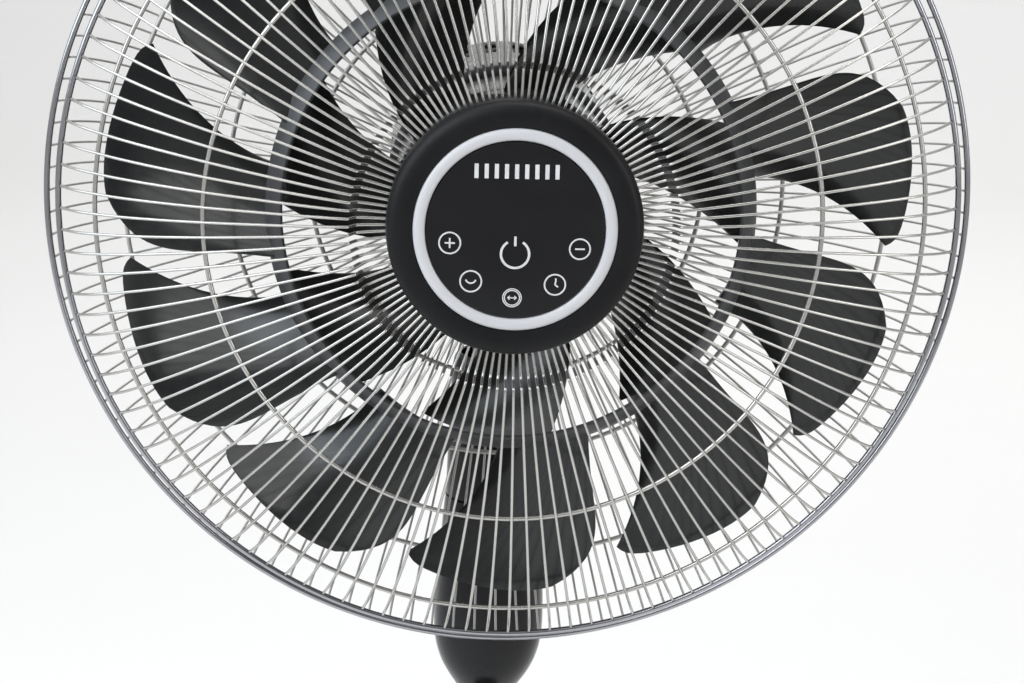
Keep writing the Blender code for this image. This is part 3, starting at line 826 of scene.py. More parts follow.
@dataclass
class Base:
    """The weighted foot: a domed gloss cover, an iron plate, four feet and the power inlet."""

    shop: Workshop
    wall: float = 2.5
    segments: int = 192
    ribs: int = 12
    body: str = "base"

    def build(self) -> None:
        """Makes every piece of the foot."""
        self.cover()
        self.weight()
        self.feet()
        self.inlet()

    def cover(self) -> None:
        """The cover, dished at its edge, with the hole that the inlet looks through."""
        reach = node_radius("base_cover")
        low, top = node_span("base_cover", 2)
        crown = [
            (21.8, top), (34, top - 2), (60, top - 9), (100, top - 16.4), (160, top - 24.5),
            (182, top - 29.4),
        ]
        edge = [(reach - 2, top - 33), (reach, top - 37), (reach, low + 1), (reach - 1, low)]
        inside = [(reach - self.wall, low), (reach - self.wall, 13), (reach - 8, 17.2), (160, 22.6)]
        inside += [(60, 38.2), (34, 45.4), (21.8, top - 2.6)]
        cover = self.shop.turned(
            "base_shell", flowing(crown) + softened([(183, top - 30), *edge], 2)[1:] + inside,
            GLOSS_BLACK, self.body, ["base_cover"], segments=self.segments,
        )
        hole = MeshBook()
        hole.turned([(0, 20), (5.2, 20), (5.2, -20), (0, -20)], 48)
        hole.moved(Along.FORWARD.matrix(self._inlet_centre()))
        self.shop.cut(cover, [hole])

    def _inlet_centre(self) -> Vector:
        """The middle of the inlet, in millimetres."""
        low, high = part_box("dc_inlet")
        return (Vector(low) + Vector(high)) / 2 / MM

    def weight(self) -> None:
        """The iron plate under the cover, with a raised web on its underside."""
        low, top = node_span("base_weight", 2)
        reach = node_radius("base_weight")
        profile = [(16.5, top), (reach, top), (reach, low + 1.5), (reach - 1.5, low)]
        profile += [
            (reach - 9, low), (reach - 10.5, low + 1.6), (38, low + 1.6), (36.5, low), (16.5, low),
        ]
        self.shop.turned(
            "ballast_plate", softened(profile, 1.0, closed=True), CAST_IRON, self.body, ["base_weight"],
            segments=self.segments,
        )
        webs = MeshBook()
        for number in range(self.ribs):
            start = len(webs.points)
            webs.prism([(39, -1.5), (reach - 12, -1.5), (reach - 12, 1.5), (39, 1.5)], low + 0.2, low + 1.8)
            webs.moved(Matrix.Rotation(number * math.tau / self.ribs, 4, "Z"), start)
        self.shop.piece("ballast_webs", webs, CAST_IRON, self.body, bevel=0.4)

    def feet(self) -> None:
        """The four rubber feet, each with a ring groove in its face."""
        for number in range(1, 5):
            node = f"base_foot_{number}"
            low, high = (Vector(corner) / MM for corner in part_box(node))
            reach = (high.x - low.x) / 2
            profile = [
                (0, high.z), (reach - 0.5, high.z), (reach, 1.2), (reach - 1, 0), (8, 0), (7.2, 0.9),
            ]
            profile += [(6, 0.9), (5.2, 0), (0, 0)]
            book = MeshBook()
            book.turned(softened(profile, 0.5), 48)
            centre = Vector(((low.x + high.x) / 2, (low.y + high.y) / 2, 0))
            self.shop.piece(f"foot_{number}", book, RUBBER, self.body, [node], Matrix.Translation(centre))

    def inlet(self) -> None:
        """The power inlet: a round socket with its centre pin and a flange."""
        place = Along.FORWARD.matrix(self._inlet_centre()) @ Matrix.Rotation(math.pi, 4, "X")
        reach = node_radius("dc_inlet")
        half = (node_span("dc_inlet", 1)[1] - node_span("dc_inlet", 1)[0]) / 2
        shell = [(3.2, -half + 1), (3.2, half), (reach, half), (reach, -half), (0, -half), (0, -half + 1)]
        self.shop.turned(
            "inlet_socket", softened(shell, 0.3), SATIN_BLACK, self.body, ["dc_inlet"], place,
            segments=48, ring=False,
        )
        self.shop.turned(
            "inlet_pin",
            softened([(0, half - 2), (0.9, half - 2), (0.9, -half + 0.6), (0, -half + 0.6)], 0.5),
            PLATED_TUBE, self.body, (), place, segments=24, ring=False,
        )


@dataclass
class Pole:
    """The fixed lower tube in its socket, and the plated upper tube that slides in it."""

    shop: Workshop
    wall: float = 1.5
    flutes: int = 40

    def build(self) -> None:
        """Makes every piece of the pole."""
        self.socket()
        self.lower_tube()
        self.fixings()
        self.collar()
        self.upper_tube()

    def socket(self) -> None:
        """The flanged sleeve that holds the pole, with a rolled lip round its mouth."""
        low, top = node_span("pole_socket", 2)
        bore = node_radius("pole_lower") + 0.3
        sleeve = [(34, low + 5.9), (21.4, low + 5.9), (21, low + 9), (21, top - 4), (21.3, top - 3)]
        sleeve += [
            (21.3, top - 1), (20, top), (bore, top), (bore, low + 5.9), (4.4, low + 5.9), (4.4, low),
            (34, low),
        ]
        self.shop.turned(
            "pole_sleeve", softened(sleeve, 0.8, closed=True), SATIN_BLACK, "base", ["pole_socket"]
        )

    def lower_tube(self) -> None:
        """The painted tube, closed at its foot round the bolt."""
        low, top = node_span("pole_lower", 2)
        reach = node_radius("pole_lower")
        bore = reach - self.wall
        profile = [
            (reach, top), (reach, low), (4.4, low), (4.4, low + 3.7), (bore, low + 3.7), (bore, top),
        ]
        self.shop.turned(
            "lower_tube", softened(profile, 0.5, closed=True), GLOSS_BLACK, "base", ["pole_lower"]
        )

    def fixings(self) -> None:
        """The bolt and nut at the pole's foot."""
        low, top = node_span("pole_bolt", 2)
        shape = [
            (0, top), (3.4, top), (4, top - 0.6), (4, low + 5.8), (9, low + 5.8), (9, low + 0.8),
            (8.2, low),
        ]
        shape += [(3.2, low), (3.2, low + 3.5), (0, low + 3.5)]
        self.shop.turned(
            "foot_bolt", softened(shape, 0.4), BARE_STEEL, "base", ["pole_bolt"], segments=64, ring=False
        )
        self.shop.repaint("pole_nut", BARE_STEEL)

    def collar(self) -> None:
        """The threaded collar on the tube, its bush, and the gripped nut that locks the height."""
        low, top = node_span("collar_thread", 2)
        bore = node_radius("pole_lower") + 0.3
        core = [
            (13.3, top), (17, top), (17.6, top - 1), (17.6, top - 37), (20.5, top - 38), (20.5, low + 1),
        ]
        core += [(19.6, low), (bore, low), (bore, top - 21.7), (13.3, top - 21.7)]
        self.shop.turned(
            "collar_core", softened(core, 0.6, closed=True), SATIN_BLACK, "base", ["collar_thread"]
        )
        self.shop.repaint("pole_bush", ACETAL)
        low, top = node_span("height_collar", 2)
        reach = node_radius("height_collar")

        def grip(radius: float, height: float, angle: float) -> float:
            """The radius of the gripped side at that height and angle."""
            if radius < reach - 1.2 or not low + 6 < height < top - 5:
                return radius
            return radius - 0.9 * (0.5 + 0.5 * math.cos(self.flutes * angle)) ** 3

        side = [(reach, top - 4 - step * (top - low - 8) / 24) for step in range(25)]
        nut = [
            (12.7, top), (18.5, top), (20.6, top - 0.8), (22.2, top - 2.2), *side,
            (reach - 0.5, low + 1.5),
        ]
        nut += [(reach - 1.5, low), (18.9, low), (18.9, top - 5.5), (12.7, top - 5.5)]
        self.shop.turned(
            "height_nut", nut, SATIN_BLACK, "collar", ["height_collar"], segments=self.flutes * 8,
            flute=grip, sharp=50,
        )

    def upper_tube(self) -> None:
        """The plated sliding tube and the glide at its lower end."""
        low, top = node_span("pole_upper", 2)
        reach = node_radius("pole_upper")
        self.shop.turned(
            "upper_tube", bored_rod(reach, reach - self.wall, top, low, 0.4), PLATED_TUBE, "mast",
            ["pole_upper"],
        )
        self.shop.repaint("pole_glide", ACETAL)


@dataclass
class Neck:
    """The two gloss shells under the head, the swivel drive inside them and the tilt joint."""

    shop: Workshop

    def build(self) -> None:
        """Makes every piece of the neck."""
        self.lower_shell()
        self.upper_shell()
        self.drive()
        self.yoke()
        self.lug()
        self.pivot_bolt()

    def lower_shell(self) -> None:
        """The tapered shell that the sliding tube enters."""
        low, seam = node_span("neck_lower_shell", 2)
        outside = [(25.7, seam), (26.9, seam - 14), (28, seam - 31), (29.2, seam - 46), (30, seam - 59)]
        outside += [
            (30.2, low + 52), (29.9, low + 45), (29.2, low + 39.5), (28, low + 34.4), (26.4, low + 29.6),
        ]
        outside += [(24.3, low + 25), (21.4, low + 20), (18.3, low + 15.4), (15.6, low + 11.4)]
        outside += [(14.1, low + 8), (13.8, low + 4), (13.7, low)]
        inside = [
            (12.7, low + 0.4), (12.7, low + 11), (15.8, low + 16), (21.8, low + 25.6),
            (25.6, low + 35.5),
        ]
        inside += [
            (27.2, low + 45), (27.7, seam - 71), (27.5, seam - 58), (25.5, seam - 31), (23.2, seam),
        ]
        self.shop.turned(
            "neck_lower", flowing(outside) + inside, GLOSS_BLACK, "mast", ["neck_lower_shell"], segments=128
        )

    def upper_shell(self) -> None:
        """The shell that swings with the head, open at the top for the yoke."""
        low, top = node_span("neck_upper_shell", 2)
        outside = [
            (25.5, low + 0.3), (25.3, low + 12), (25.1, low + 22), (24.7, low + 42), (24.3, low + 58),
        ]
        outside += [(23.9, low + 69), (23, top - 4), (21.6, top - 1), (20.4, top)]
        outside.reverse()
        inside = [(7.4, low), (7.4, low + 2.7), (22.8, low + 2.7), (22.6, low + 18), (22, low + 48)]
        inside += [(21.2, low + 68), (19.2, top - 3.5), (19.3, top - 0.4)]
        self.shop.turned(
            "neck_upper", flowing(outside) + [(25.1, low)] + inside, GLOSS_BLACK, "swivel",
            ["neck_upper_shell"], segments=128,
        )

    def drive(self) -> None:
        """Dresses the drive that the shells hide."""
        finishes = {
            "neck_socket": SATIN_BLACK,
            "swivel_motor": BARE_STEEL,
            "swivel_bearing": ACETAL,
            "swivel_gear": ACETAL,
            "swivel_pinion": ACETAL,
            "swivel_shaft": BARE_STEEL,
        }
        for node, finish in finishes.items():
            self.shop.repaint(node, finish)

    def yoke(self) -> None:
        """The forked block on the swivel shaft, with round-topped cheeks."""
        low, top = node_span("tilt_yoke", 2)
        half = node_radius("tilt_yoke")
        reach = (node_span("tilt_yoke", 1)[1] - node_span("tilt_yoke", 1)[0]) / 2
        outline = [(-reach, low - TILT_PIVOT.z), (reach, low - TILT_PIVOT.z)]
        outline += arc((0, 0), top - TILT_PIVOT.z, 0, 180, 32)
        book = MeshBook()
        book.prism(outline, -half, half)
        book.moved(self._across())
        yoke = self.shop.piece("tilt_fork", book, SATIN_BLACK, "swivel", ["tilt_yoke"], bevel=0.8)
        slot = MeshBook()
        slot.prism([(-8.9, -40), (8.9, -40), (8.9, 40), (-8.9, 40)], low + 36.2, top + 20)
        self.shop.cut(yoke, [slot])

    def _across(self) -> Matrix:
        """Stands an outline drawn in Y and Z across X at the tilt pivot."""
        turn = Matrix(((0, 0, 1, 0), (1, 0, 0, 0), (0, 1, 0, 0), (0, 0, 0, 1)))
        return Matrix.Translation(TILT_PIVOT) @ turn

    def lug(self) -> None:
        """The lug under the motor housing, rounded below and flared where it meets the shell."""
        half = node_radius("tilt_lug")
        top = node_span("tilt_lug", 2)[1] - TILT_PIVOT.z
        flare = [
            (12, 6), (12.6, 11), (14.6, 16), (20, top), (-20, top), (-14.6, 16), (-12.6, 11), (-12, 6),
        ]
        book = MeshBook()
        book.prism(arc((0, 0), 12, 180, 180, 32) + flare, -half, half)
        self.shop.piece("tilt_bracket", book, SATIN_BLACK, "head", ["tilt_lug"], self._across(), bevel=0.8)

    def pivot_bolt(self) -> None:
        """The bolt across the joint, its round head with a round recess, and the nut."""
        place = Along.ACROSS.matrix(TILT_PIVOT)
        low, high = node_span("tilt_bolt", 0)
        shank = [
            (0, high), (2.5, high), (3, high - 0.6), (3, low + 3.2), (6, low + 3.2), (6, low + 0.8),
            (5.4, low),
        ]
        shank += [(2.6, low), (2.4, low + 2), (0, low + 2)]
        self.shop.turned(
            "pivot_screw", softened(shank, 0.3), BARE_STEEL, "swivel", ["tilt_bolt"], place, segments=64,
            ring=False,
        )
        low, high = node_span("tilt_nut", 0)
        nut = MeshBook()
        nut.prism(arc((0, 0), 6, 0, 300, 5), low, high)
        self.shop.piece("pivot_nut", nut, BARE_STEEL, "swivel", ["tilt_nut"], place, bevel=0.5)


# --------------------------------------------------------------------------- motor


@dataclass
class Motor:
    """The two housing shells with their vents, and the motor that the hub hides."""

    shop: Workshop
    wall: float = 2.4
    vents: int = 24
    columns: int = 8
    screws: int = 4

    def build(self) -> None:
        """Makes every piece of the motor."""
        self.front_shell()
        self.rear_shell()
        self.axle()
        self.inside()

    def front_shell(self) -> None:
        """The shell against the rear guard, with the neck that the stator sits on."""
        back, nose = head_depth("motor_housing_front")
        reach = node_radius("motor_housing_front")
        plate = nose - 46
        profile = [(15, nose), (19.7, nose), (19.7, plate + 14), (29.5, plate + 14), (30, plate)]
        profile += [
            (reach - 3, plate), (reach, plate - 3), (reach, back), (reach - 2.5, back),
            (reach - 2.5, plate - 4),
        ]
        profile += [(6.5, plate - 4), (6.5, plate + 12), (15, plate + 12)]
        self.shop.turned(
            "housing_front", softened(profile, 1.2, closed=True), GLOSS_BLACK, "head",
            ["motor_housing_front"], HEAD, segments=144,
        )

    def rear_shell(self) -> None:
        """The domed rear shell, with a ring of air slots in its end and in its side."""
        end, split = head_depth("motor_housing_rear")
        reach = node_radius("motor_housing_rear")
        inner = reach - self.wall / 2 - 0.05
        side = [
            (inner - 0.9, split), (inner - 0.9, split - 1.4), (inner, split - 1.8), (inner, split - 14),
        ]
        side += [(inner, split - 20 - step * 6) for step in range(7)]
        dome = [
            (inner, end + 31), (inner - 0.5, end + 23), (inner - 2.6, end + 14.6),
            (inner - 6.2, end + 8.6),
        ]
        dome += [
            (inner - 11.4, end + 4.6), (46, end + 3.6), (38, end + 2.3), (30, end + 1.9),
            (22, end + 1.6),
        ]
        dome += [(14, end + 1.4), (0, end + 1.25)]
        profile = side + flowing(dome, 3)[1:]
        segments = self.vents * self.columns
        book = MeshBook()
        book.turned(profile, segments)
        kept = []
        for face in book.faces:
            middle = sum((Vector(book.points[index]) for index in face), Vector()) / len(face)
            radius, height = math.hypot(middle.x, middle.y), middle.z
            column = math.atan2(middle.y, middle.x) / math.tau * segments % self.columns
            in_end = 20 < radius < 45.5 and 1.5 < column < self.columns - 1.5
            in_side = split - 55 < height < split - 21 and 2 < column < self.columns - 2
            if not (in_end or in_side and radius > inner - 0.4):
                kept.append(face)
        book.faces = kept
        replaced = ["motor_housing_rear"]
        shell = self.shop.piece("housing_rear", book, GLOSS_BLACK, "head", replaced, HEAD, sharp=30)
        sheet = shell.modifiers.new("wall", "SOLIDIFY")
        sheet.thickness = self.wall * MM
        sheet.offset = 0
        screw = [
            (0, end + 9), (2.6, end + 9), (2.6, end + 5.2), (1.4, end + 5.2), (1.2, end + 6.4),
            (0, end + 6.4),
        ]
        for number in range(self.screws):
            turn = (number + 0.5) * math.tau / self.screws
            place = HEAD @ Matrix.Translation((52.4 * math.cos(turn), 52.4 * math.sin(turn), 0))
            self.shop.turned(
                f"housing_screw_{number + 1}", softened(screw, 0.4), BARE_STEEL, "head", (), place,
                segments=32, ring=False,
            )

    def axle(self) -> None:
        """The hollow axle and the cable that runs through it to the panel."""
        back, nose = head_depth("hollow_axle")
        profile = [(6, nose), (6, back + 3.7), (20, back + 3.7), (20, back), (3.5, back), (3.5, nose)]
        self.shop.turned(
            "axle_tube", softened(profile, 0.5, closed=True), BARE_STEEL, "head", ["hollow_axle"], HEAD,
            segments=64,
        )
        back, nose = head_depth("panel_cable")
        self.shop.turned(
            "panel_lead", solid_rod(2.6, nose, back, 0.4), RUBBER, "head", ["panel_cable"], HEAD,
            segments=32, ring=False,
        )

    def inside(self) -> None:
        """Dresses what the hub and the shells hide."""
        finishes = {
            "driver_board": BOARD,
            "stator_core": BARE_STEEL,
            "winding_front": COPPER,
            "winding_rear": COPPER,
            "rotor_bell": BARE_STEEL,
            "magnet_ring": FERRITE,
            "bearing_front": BARE_STEEL,
            "bearing_rear": BARE_STEEL,
        }
        for node, finish in finishes.items():
            self.shop.repaint(node, finish)


# --------------------------------------------------------------------------- impeller


@dataclass
class Impeller:
    """Hub, inner blades, ring and outer blades, moulded in one, and the nut that holds them.

    A blade is given by its share along (root to tip) and across (front edge to rear edge).
    Its angles run the way that the blades turn, which is clockwise seen from the front.
    """

    shop: Workshop
    outer_blades: int = 11
    inner_blades: int = 7
    outer_first: float = 27.0
    inner_first: float = 31.7
    ring_radius: float = 116.0
    tip_radius: float = 200.0
    hub_radius: float = 58.0
    thickness: float = 2.4
    rows: int = 26
    columns: int = 20

    def build(self) -> None:
        """Makes the impeller's pieces, which all turn with the rotor."""
        self.hub()
        self.ring()
        self.blades("outer_blades", self.outer_blades, self.outer_first, self.outer_point)
        self.blades("inner_blades", self.inner_blades, self.inner_first, self.inner_point)
        self.nut()

    def hub(self) -> None:
        """The cup-shaped hub with its rounded front edge."""
        front, reach = 18.0, self.hub_radius
        profile = [
            (12.9, front), (30, front + 0.1), (46, front - 0.2), (52, front - 1.8), (56, front - 5),
        ]
        profile += [
            (57.7, front - 9), (reach, front - 14), (reach, front - 52), (reach - 2.2, front - 52),
        ]
        profile += [(reach - 2.4, front - 12), (51.5, front - 6), (12.9, front - 6)]
        self.shop.turned(
            "fan_hub", softened(profile, 0.8, closed=True), BLADE_BLACK, "rotor", ["impeller"], HEAD,
            segments=144,
        )

    def ring(self) -> None:
        """The slanting ring that joins the inner blades to the outer ones, in a lighter grey than the
        blades as painted sheen for the light that its face reflects.
        """
        middle = self.ring_radius
        band = [(middle - 4.4, 34), (middle + 0.2, 29.4), (middle + 3.4, 24.4), (middle + 2, 23)]
        band += [(middle - 1.6, 28), (middle - 5.8, 32.8)]
        # Its finish is painted sheen: a lighter grey than the blades' own black.
        self.shop.turned(
            "blade_ring", softened(band, 0.7, closed=True), RING_PAINTED_SHEEN, "rotor", (), HEAD, segments=180
        )

    def outer_point(self, along: float, across: float) -> tuple[float, float, float]:
        """Radius, angle in degrees and depth of a point of an outer blade."""
        root = self.ring_radius - 2.0
        tip = self.tip_radius - 4.5 * across**1.5 - 3 * (1 - across) ** 6 - 5 * across**24
        radius = root + along * (tip - root)
        front_edge = -19.4 - 4 * (1 - along) ** 3 + 9 * along**6
        rear_edge = -2.4 + 14 * along**1.5
        turn = front_edge + across * (rear_edge - front_edge)
        front_depth, rear_depth = 29 - 17 * along, 3 - 13 * along
        depth = front_depth + across * (rear_depth - front_depth) + 3.5 * math.sin(math.pi * across)
        return radius, turn, depth

    def inner_point(self, along: float, across: float) -> tuple[float, float, float]:
        """Radius, angle in degrees and depth of a point of an inner blade."""
        root = self.hub_radius - 1.0
        radius = root + along * (self.ring_radius - 2 - root)
        turn = -8 + 20 * along + 32 * (across - 0.5)
        front_depth, rear_depth = 12 + 19 * along, -24 + 32 * along
        depth = front_depth + across * (rear_depth - front_depth) + 3 * math.sin(math.pi * across)
        return radius, turn, depth

    def blades(self, name: str, count: int, first: float, point: BladePoint) -> None:
        """Makes equal blades round the axis, thick at the root and thin at their edges.

        Args:
            name: the piece's name.
            count: how many blades there are.
            first: the first blade's angle, in degrees.
            point: gives a point of the blade's middle surface.
        """
        book = MeshBook()
        for number in range(count):
            self._blade(book, first + number * 360 / count, point)
        self.shop.piece(name, book, BLADE_BLACK, "rotor", (), HEAD, sharp=60)

    def _blade(self, book: MeshBook, start: float, point: BladePoint) -> None:
        """Adds one blade, a closed skin round its middle surface."""

        def place(along: float, across: float) -> Vector:
            """A point of the middle surface, in the head's own axes."""
            radius, turn, depth = point(along, across)
            angle = -math.radians(start + turn)
            return Vector((radius * math.cos(angle), radius * math.sin(angle), depth))

        rows, columns, small = self.rows, self.columns, 0.004
        skins: list[list[Vector]] = [[], []]
        for row in range(rows + 1):
            along = row / rows
            for column in range(columns + 1):
                across = 0.5 - 0.5 * math.cos(math.pi * column / columns)
                here = place(along, across)
                outward, rearward = place(along + small, across) - here, place(along, across + small) - here
                normal = outward.cross(rearward).normalized()
                edge = max(0.0, 4 * across * (1 - across)) ** 0.5
                tip = max(0.0, 1 - ((along - 0.93) / 0.07) ** 2) ** 0.5 if along > 0.93 else 1.0
                half = self.thickness / 2 * (0.25 + 0.75 * edge) * (1 - 0.35 * along) * (0.3 + 0.7 * tip)
                skins[0].append(here + normal * half)
                skins[1].append(here - normal * half)
        wide = columns + 1
        faces: list[tuple[int, ...]] = []
        offset = len(skins[0])
        for row in range(rows):
            for column in range(columns):
                a = row * wide + column
                faces.append((a, a + 1, a + wide + 1, a + wide))
                faces.append((offset + a, offset + a + wide, offset + a + wide + 1, offset + a + 1))
        rim = list(range(wide))
        rim += [row * wide + columns for row in range(1, rows + 1)]
        rim += [rows * wide + column for column in range(columns - 1, -1, -1)]
        rim += [row * wide for row in range(rows - 1, 0, -1)]
        for here, after in zip(rim, rim[1:] + rim[:1]):
            faces.append((here, offset + here, offset + after, after))
        book.add(skins[0] + skins[1], faces)

    def nut(self) -> None:
        """The nut on the axle, with finger grips round it."""
        back, nose = head_depth("blade_nut")
        reach = node_radius("blade_nut")

        def grip(radius: float, height: float, angle: float) -> float:
            """Scallops the nut's side."""
            return radius if radius < reach - 3 else radius - 1.6 * (0.5 + 0.5 * math.cos(10 * angle)) ** 2

        profile = [
            (12.9, nose), (16, nose), (18.5, nose - 0.6), (reach, nose - 2.4), (reach, back + 1),
            (reach - 1, back),
        ]
        self.shop.turned(
            "hub_nut", profile + [(12.9, back)], SATIN_BLACK, "rotor", ["blade_nut"], HEAD, segments=160,
            flute=grip, sharp=50,
        )


# --------------------------------------------------------------------------- wire guards


@dataclass
class WireGuard:
    """One half of the guard: equal spokes from the middle to the rim, and the rings they cross.

    Args:
        shop: the workshop that makes the pieces.
        name: the word that starts the pieces' names.
        node: the frame node that it stands for.
        stations: (radius, depth) of the points that a spoke runs through.
        rings: (radius, depth, wire radius) of each ring.
        first: angle of the first spoke, in degrees.
        spokes: how many spokes there are.
        wire: the spokes' radius.
        sides: how many sides a spoke's section has.
        finish: what its wires are finished in.
    """

    shop: Workshop
    name: str
    node: str
    stations: Sequence[tuple[float, float]]
    rings: Sequence[tuple[float, float, float]]
    first: float = 0.0
    spokes: int = 128
    wire: float = 0.7
    sides: int = 10
    finish: Finish = PLATED_WIRE

    def build(self) -> None:
        """Makes the spokes and the rings."""
        self.make_spokes()
        self.make_rings()

    def make_spokes(self) -> None:
        """The spokes, each a wire along the guard's profile."""
        line = flowing(self.stations, 5)
        book = MeshBook()
        for number in range(self.spokes):
            angle = self.first + number * 360 / self.spokes
            book.tube([head_point(radius, angle, depth) for radius, depth in line], self.wire, self.sides)
        self.shop.piece(f"{self.name}_spokes", book, self.finish, "head", [self.node], sharp=60)

    def make_rings(self) -> None:
        """The rings and the rim, each a closed hoop of wire; the rim's plating is darkened as painted
        shade.
        """
        rings, rim = self.rings[:-1], self.rings[-1:]
        # The rim takes the wire plating darkened as painted shade.
        for part, hoops, finish in (("rings", rings, self.finish), ("rim", rim, RIM_PAINTED_SHADE)):
            book = MeshBook()
            for radius, depth, wire in hoops:
                steps = max(96, int(radius * 1.2))
                hoop = [head_point(radius, 360 * step / steps, depth) for step in range(steps)]
                book.tube(hoop, wire, 14, closed=True)
            self.shop.piece(f"{self.name}_{part}", book, finish, "head", (), sharp=60)


@dataclass
class Guard:
    """Both halves of the guard, with the plates, nut, screws and clips that hold them."""

    shop: Workshop
    rim_wire: float = 1.5
    ring_wire: float = 1.15
    seat: float = 0.5
    front_first: float = 1.4
    clip_angles: tuple[int, ...] = (60, 90, 120)

    def build(self) -> None:
        """Makes every piece of the guard."""
        self.front()
        self.rear()
        self.rear_plate()
        self.ring_nut()
        self.hub_plate()
        self.clips()

    def front(self) -> None:
        """The front half: it steps up round the cap and then falls away to the rim."""
        low, high = head_depth("front_grille")
        rim = node_radius("front_grille") - self.rim_wire
        under = self.wire_under_ring()
        edge = low + self.rim_wire
        stations = [
            (52, 59.4), (60, 59.7), (70, 60), (74.4, 60.6), (76.3, 62.4), (77.8, 64.9), (80.4, 66.2),
        ]
        stations += [(96, 64.6), (122, 60.2), (147, 54.8), (172, 47), (189, 40), (200, 33.8)]
        stations += [(208, 28.4), (214, 22.4), (rim - 1.6, edge + 2)]
        rings = [
            (56, 58.2, self.ring_wire),
            (147, 54.8 - under, self.ring_wire),
            (200, 33.8 - under, self.ring_wire),
            (rim, edge, self.rim_wire),
        ]
        WireGuard(self.shop, "front", "front_grille", stations, rings, self.front_first).build()

    def wire_under_ring(self) -> float:
        """How far a ring's middle lies below the middle of the spokes that it carries."""
        return self.ring_wire + self.seat

    def rear(self) -> None:
        """The rear half: a shallow dish from the motor's plate to the rim."""
        rim = node_radius("rear_grille") - self.rim_wire
        under = self.wire_under_ring()
        stations = [(56, -49.6), (70, -49.5), (100, -48.3), (141, -45), (170, -40.4), (193, -33.4)]
        stations += [(207, -26), (216.6, -17), (222.8, -8), (rim - 1.3, -1.2)]
        rings = [
            (100, -48.3 + under, self.ring_wire),
            (141, -45 + under, self.ring_wire),
            (193, -33.4 + under, self.ring_wire),
            (rim, 0, self.rim_wire),
        ]
        WireGuard(self.shop, "rear", "rear_grille", stations, rings, wire=0.62, finish=DULL_WIRE).build()

    def rear_plate(self) -> None:
        """The pressed plate in the middle of the rear half, its edge rolled over the spokes."""
        profile = [
            (31, -48.9), (44, -48.9), (47, -47.4), (58, -47.4), (61, -48.6), (61.6, -50.4),
            (60.6, -51.4),
        ]
        profile += [(57, -50.9), (45, -51.3), (42, -51.6), (31, -51.6)]
        self.shop.turned(
            "rear_plate", softened(profile, 0.9, closed=True), SATIN_BLACK, "head", (), HEAD, segments=144
        )

    def ring_nut(self) -> None:
        """The nut that clamps the rear half to the motor, with eight finger grips."""
        back, nose = head_depth("grille_nut")
        reach = node_radius("grille_nut")

        def grip(radius: float, height: float, angle: float) -> float:
            """Scallops the nut's side."""
            return radius if radius < reach - 2.5 else radius - 1.9 * (0.5 + 0.5 * math.cos(8 * angle)) ** 4

        profile = [(30.3, nose), (35, nose), (37.8, nose - 0.6), (reach, nose - 2.4), (reach, back + 1)]
        profile += [(reach - 0.8, back), (30.3, back)]
        self.shop.turned(
            "guard_nut", profile, SATIN_BLACK, "head", ["grille_nut"], HEAD, segments=192, flute=grip,
            sharp=50,
        )

    def hub_plate(self) -> None:
        """The pan behind the cap that grips the front spokes, and its two screws."""
        back, nose = head_depth("grille_hub_plate")
        reach = node_radius("grille_hub_plate")
        pan = [
            (reach, nose), (reach, back), (46, back), (44, back + 0.8), (12, back + 0.8), (10, back),
            (7, back),
        ]
        pan += [(7, back + 2.5), (reach - 9.2, back + 2.5), (reach - 9.2, nose)]
        self.shop.turned(
            "hub_pan", softened(pan, 0.8, closed=True), SATIN_BLACK, "head", ["grille_hub_plate"], HEAD,
            segments=144,
        )
        for number in (1, 2):
            node = f"cap_screw_{number}"
            low, high = node_span(node, 0)
            back, nose = head_depth(node)
            screw = [
                (0, nose), (1.6, nose), (1.6, back + 2.2), (3.2, back + 2), (2.8, back + 0.4),
                (1.2, back),
            ]
            screw += [(1, back + 1.2), (0, back + 1.2)]
            book = MeshBook()
            book.turned(softened(screw, 0.3), 32)
            place = HEAD @ Matrix.Translation(((low + high) / 2, 0, 0))
            self.shop.piece(f"pan_screw_{number}", book, BARE_STEEL, "head", [node], place)

    def clips(self) -> None:
        """The clips over both rims, each a folded tab with a rounded back."""
        outer = node_span("rim_clip_2", 2)[1] - FAN_CENTRE.z
        for number, degrees in enumerate(self.clip_angles, start=1):
            node = f"rim_clip_{number}"
            back, nose = head_depth(node)
            section = [(outer, back + 1.2), (outer, nose - 1.2), (outer - 1.2, nose), (outer - 3, nose)]
            section += [(outer - 3, back), (outer - 1.2, back)]
            book = MeshBook()
            book.prism(softened(section, 0.8, closed=True), -7, 7)
            angle = math.radians(degrees)
            radial = Vector((math.cos(angle), 0, math.sin(angle)))
            beside = Vector((-math.sin(angle), 0, math.cos(angle)))
            turn = Matrix((radial, Vector((0, -1, 0)), beside)).transposed().to_4x4()
            place = Matrix.Translation(FAN_CENTRE) @ turn
            self.shop.piece(f"clip_{number}", book, SATIN_BLACK, "head", [node], place, bevel=0.6)


# --------------------------------------------------------------------------- control panel


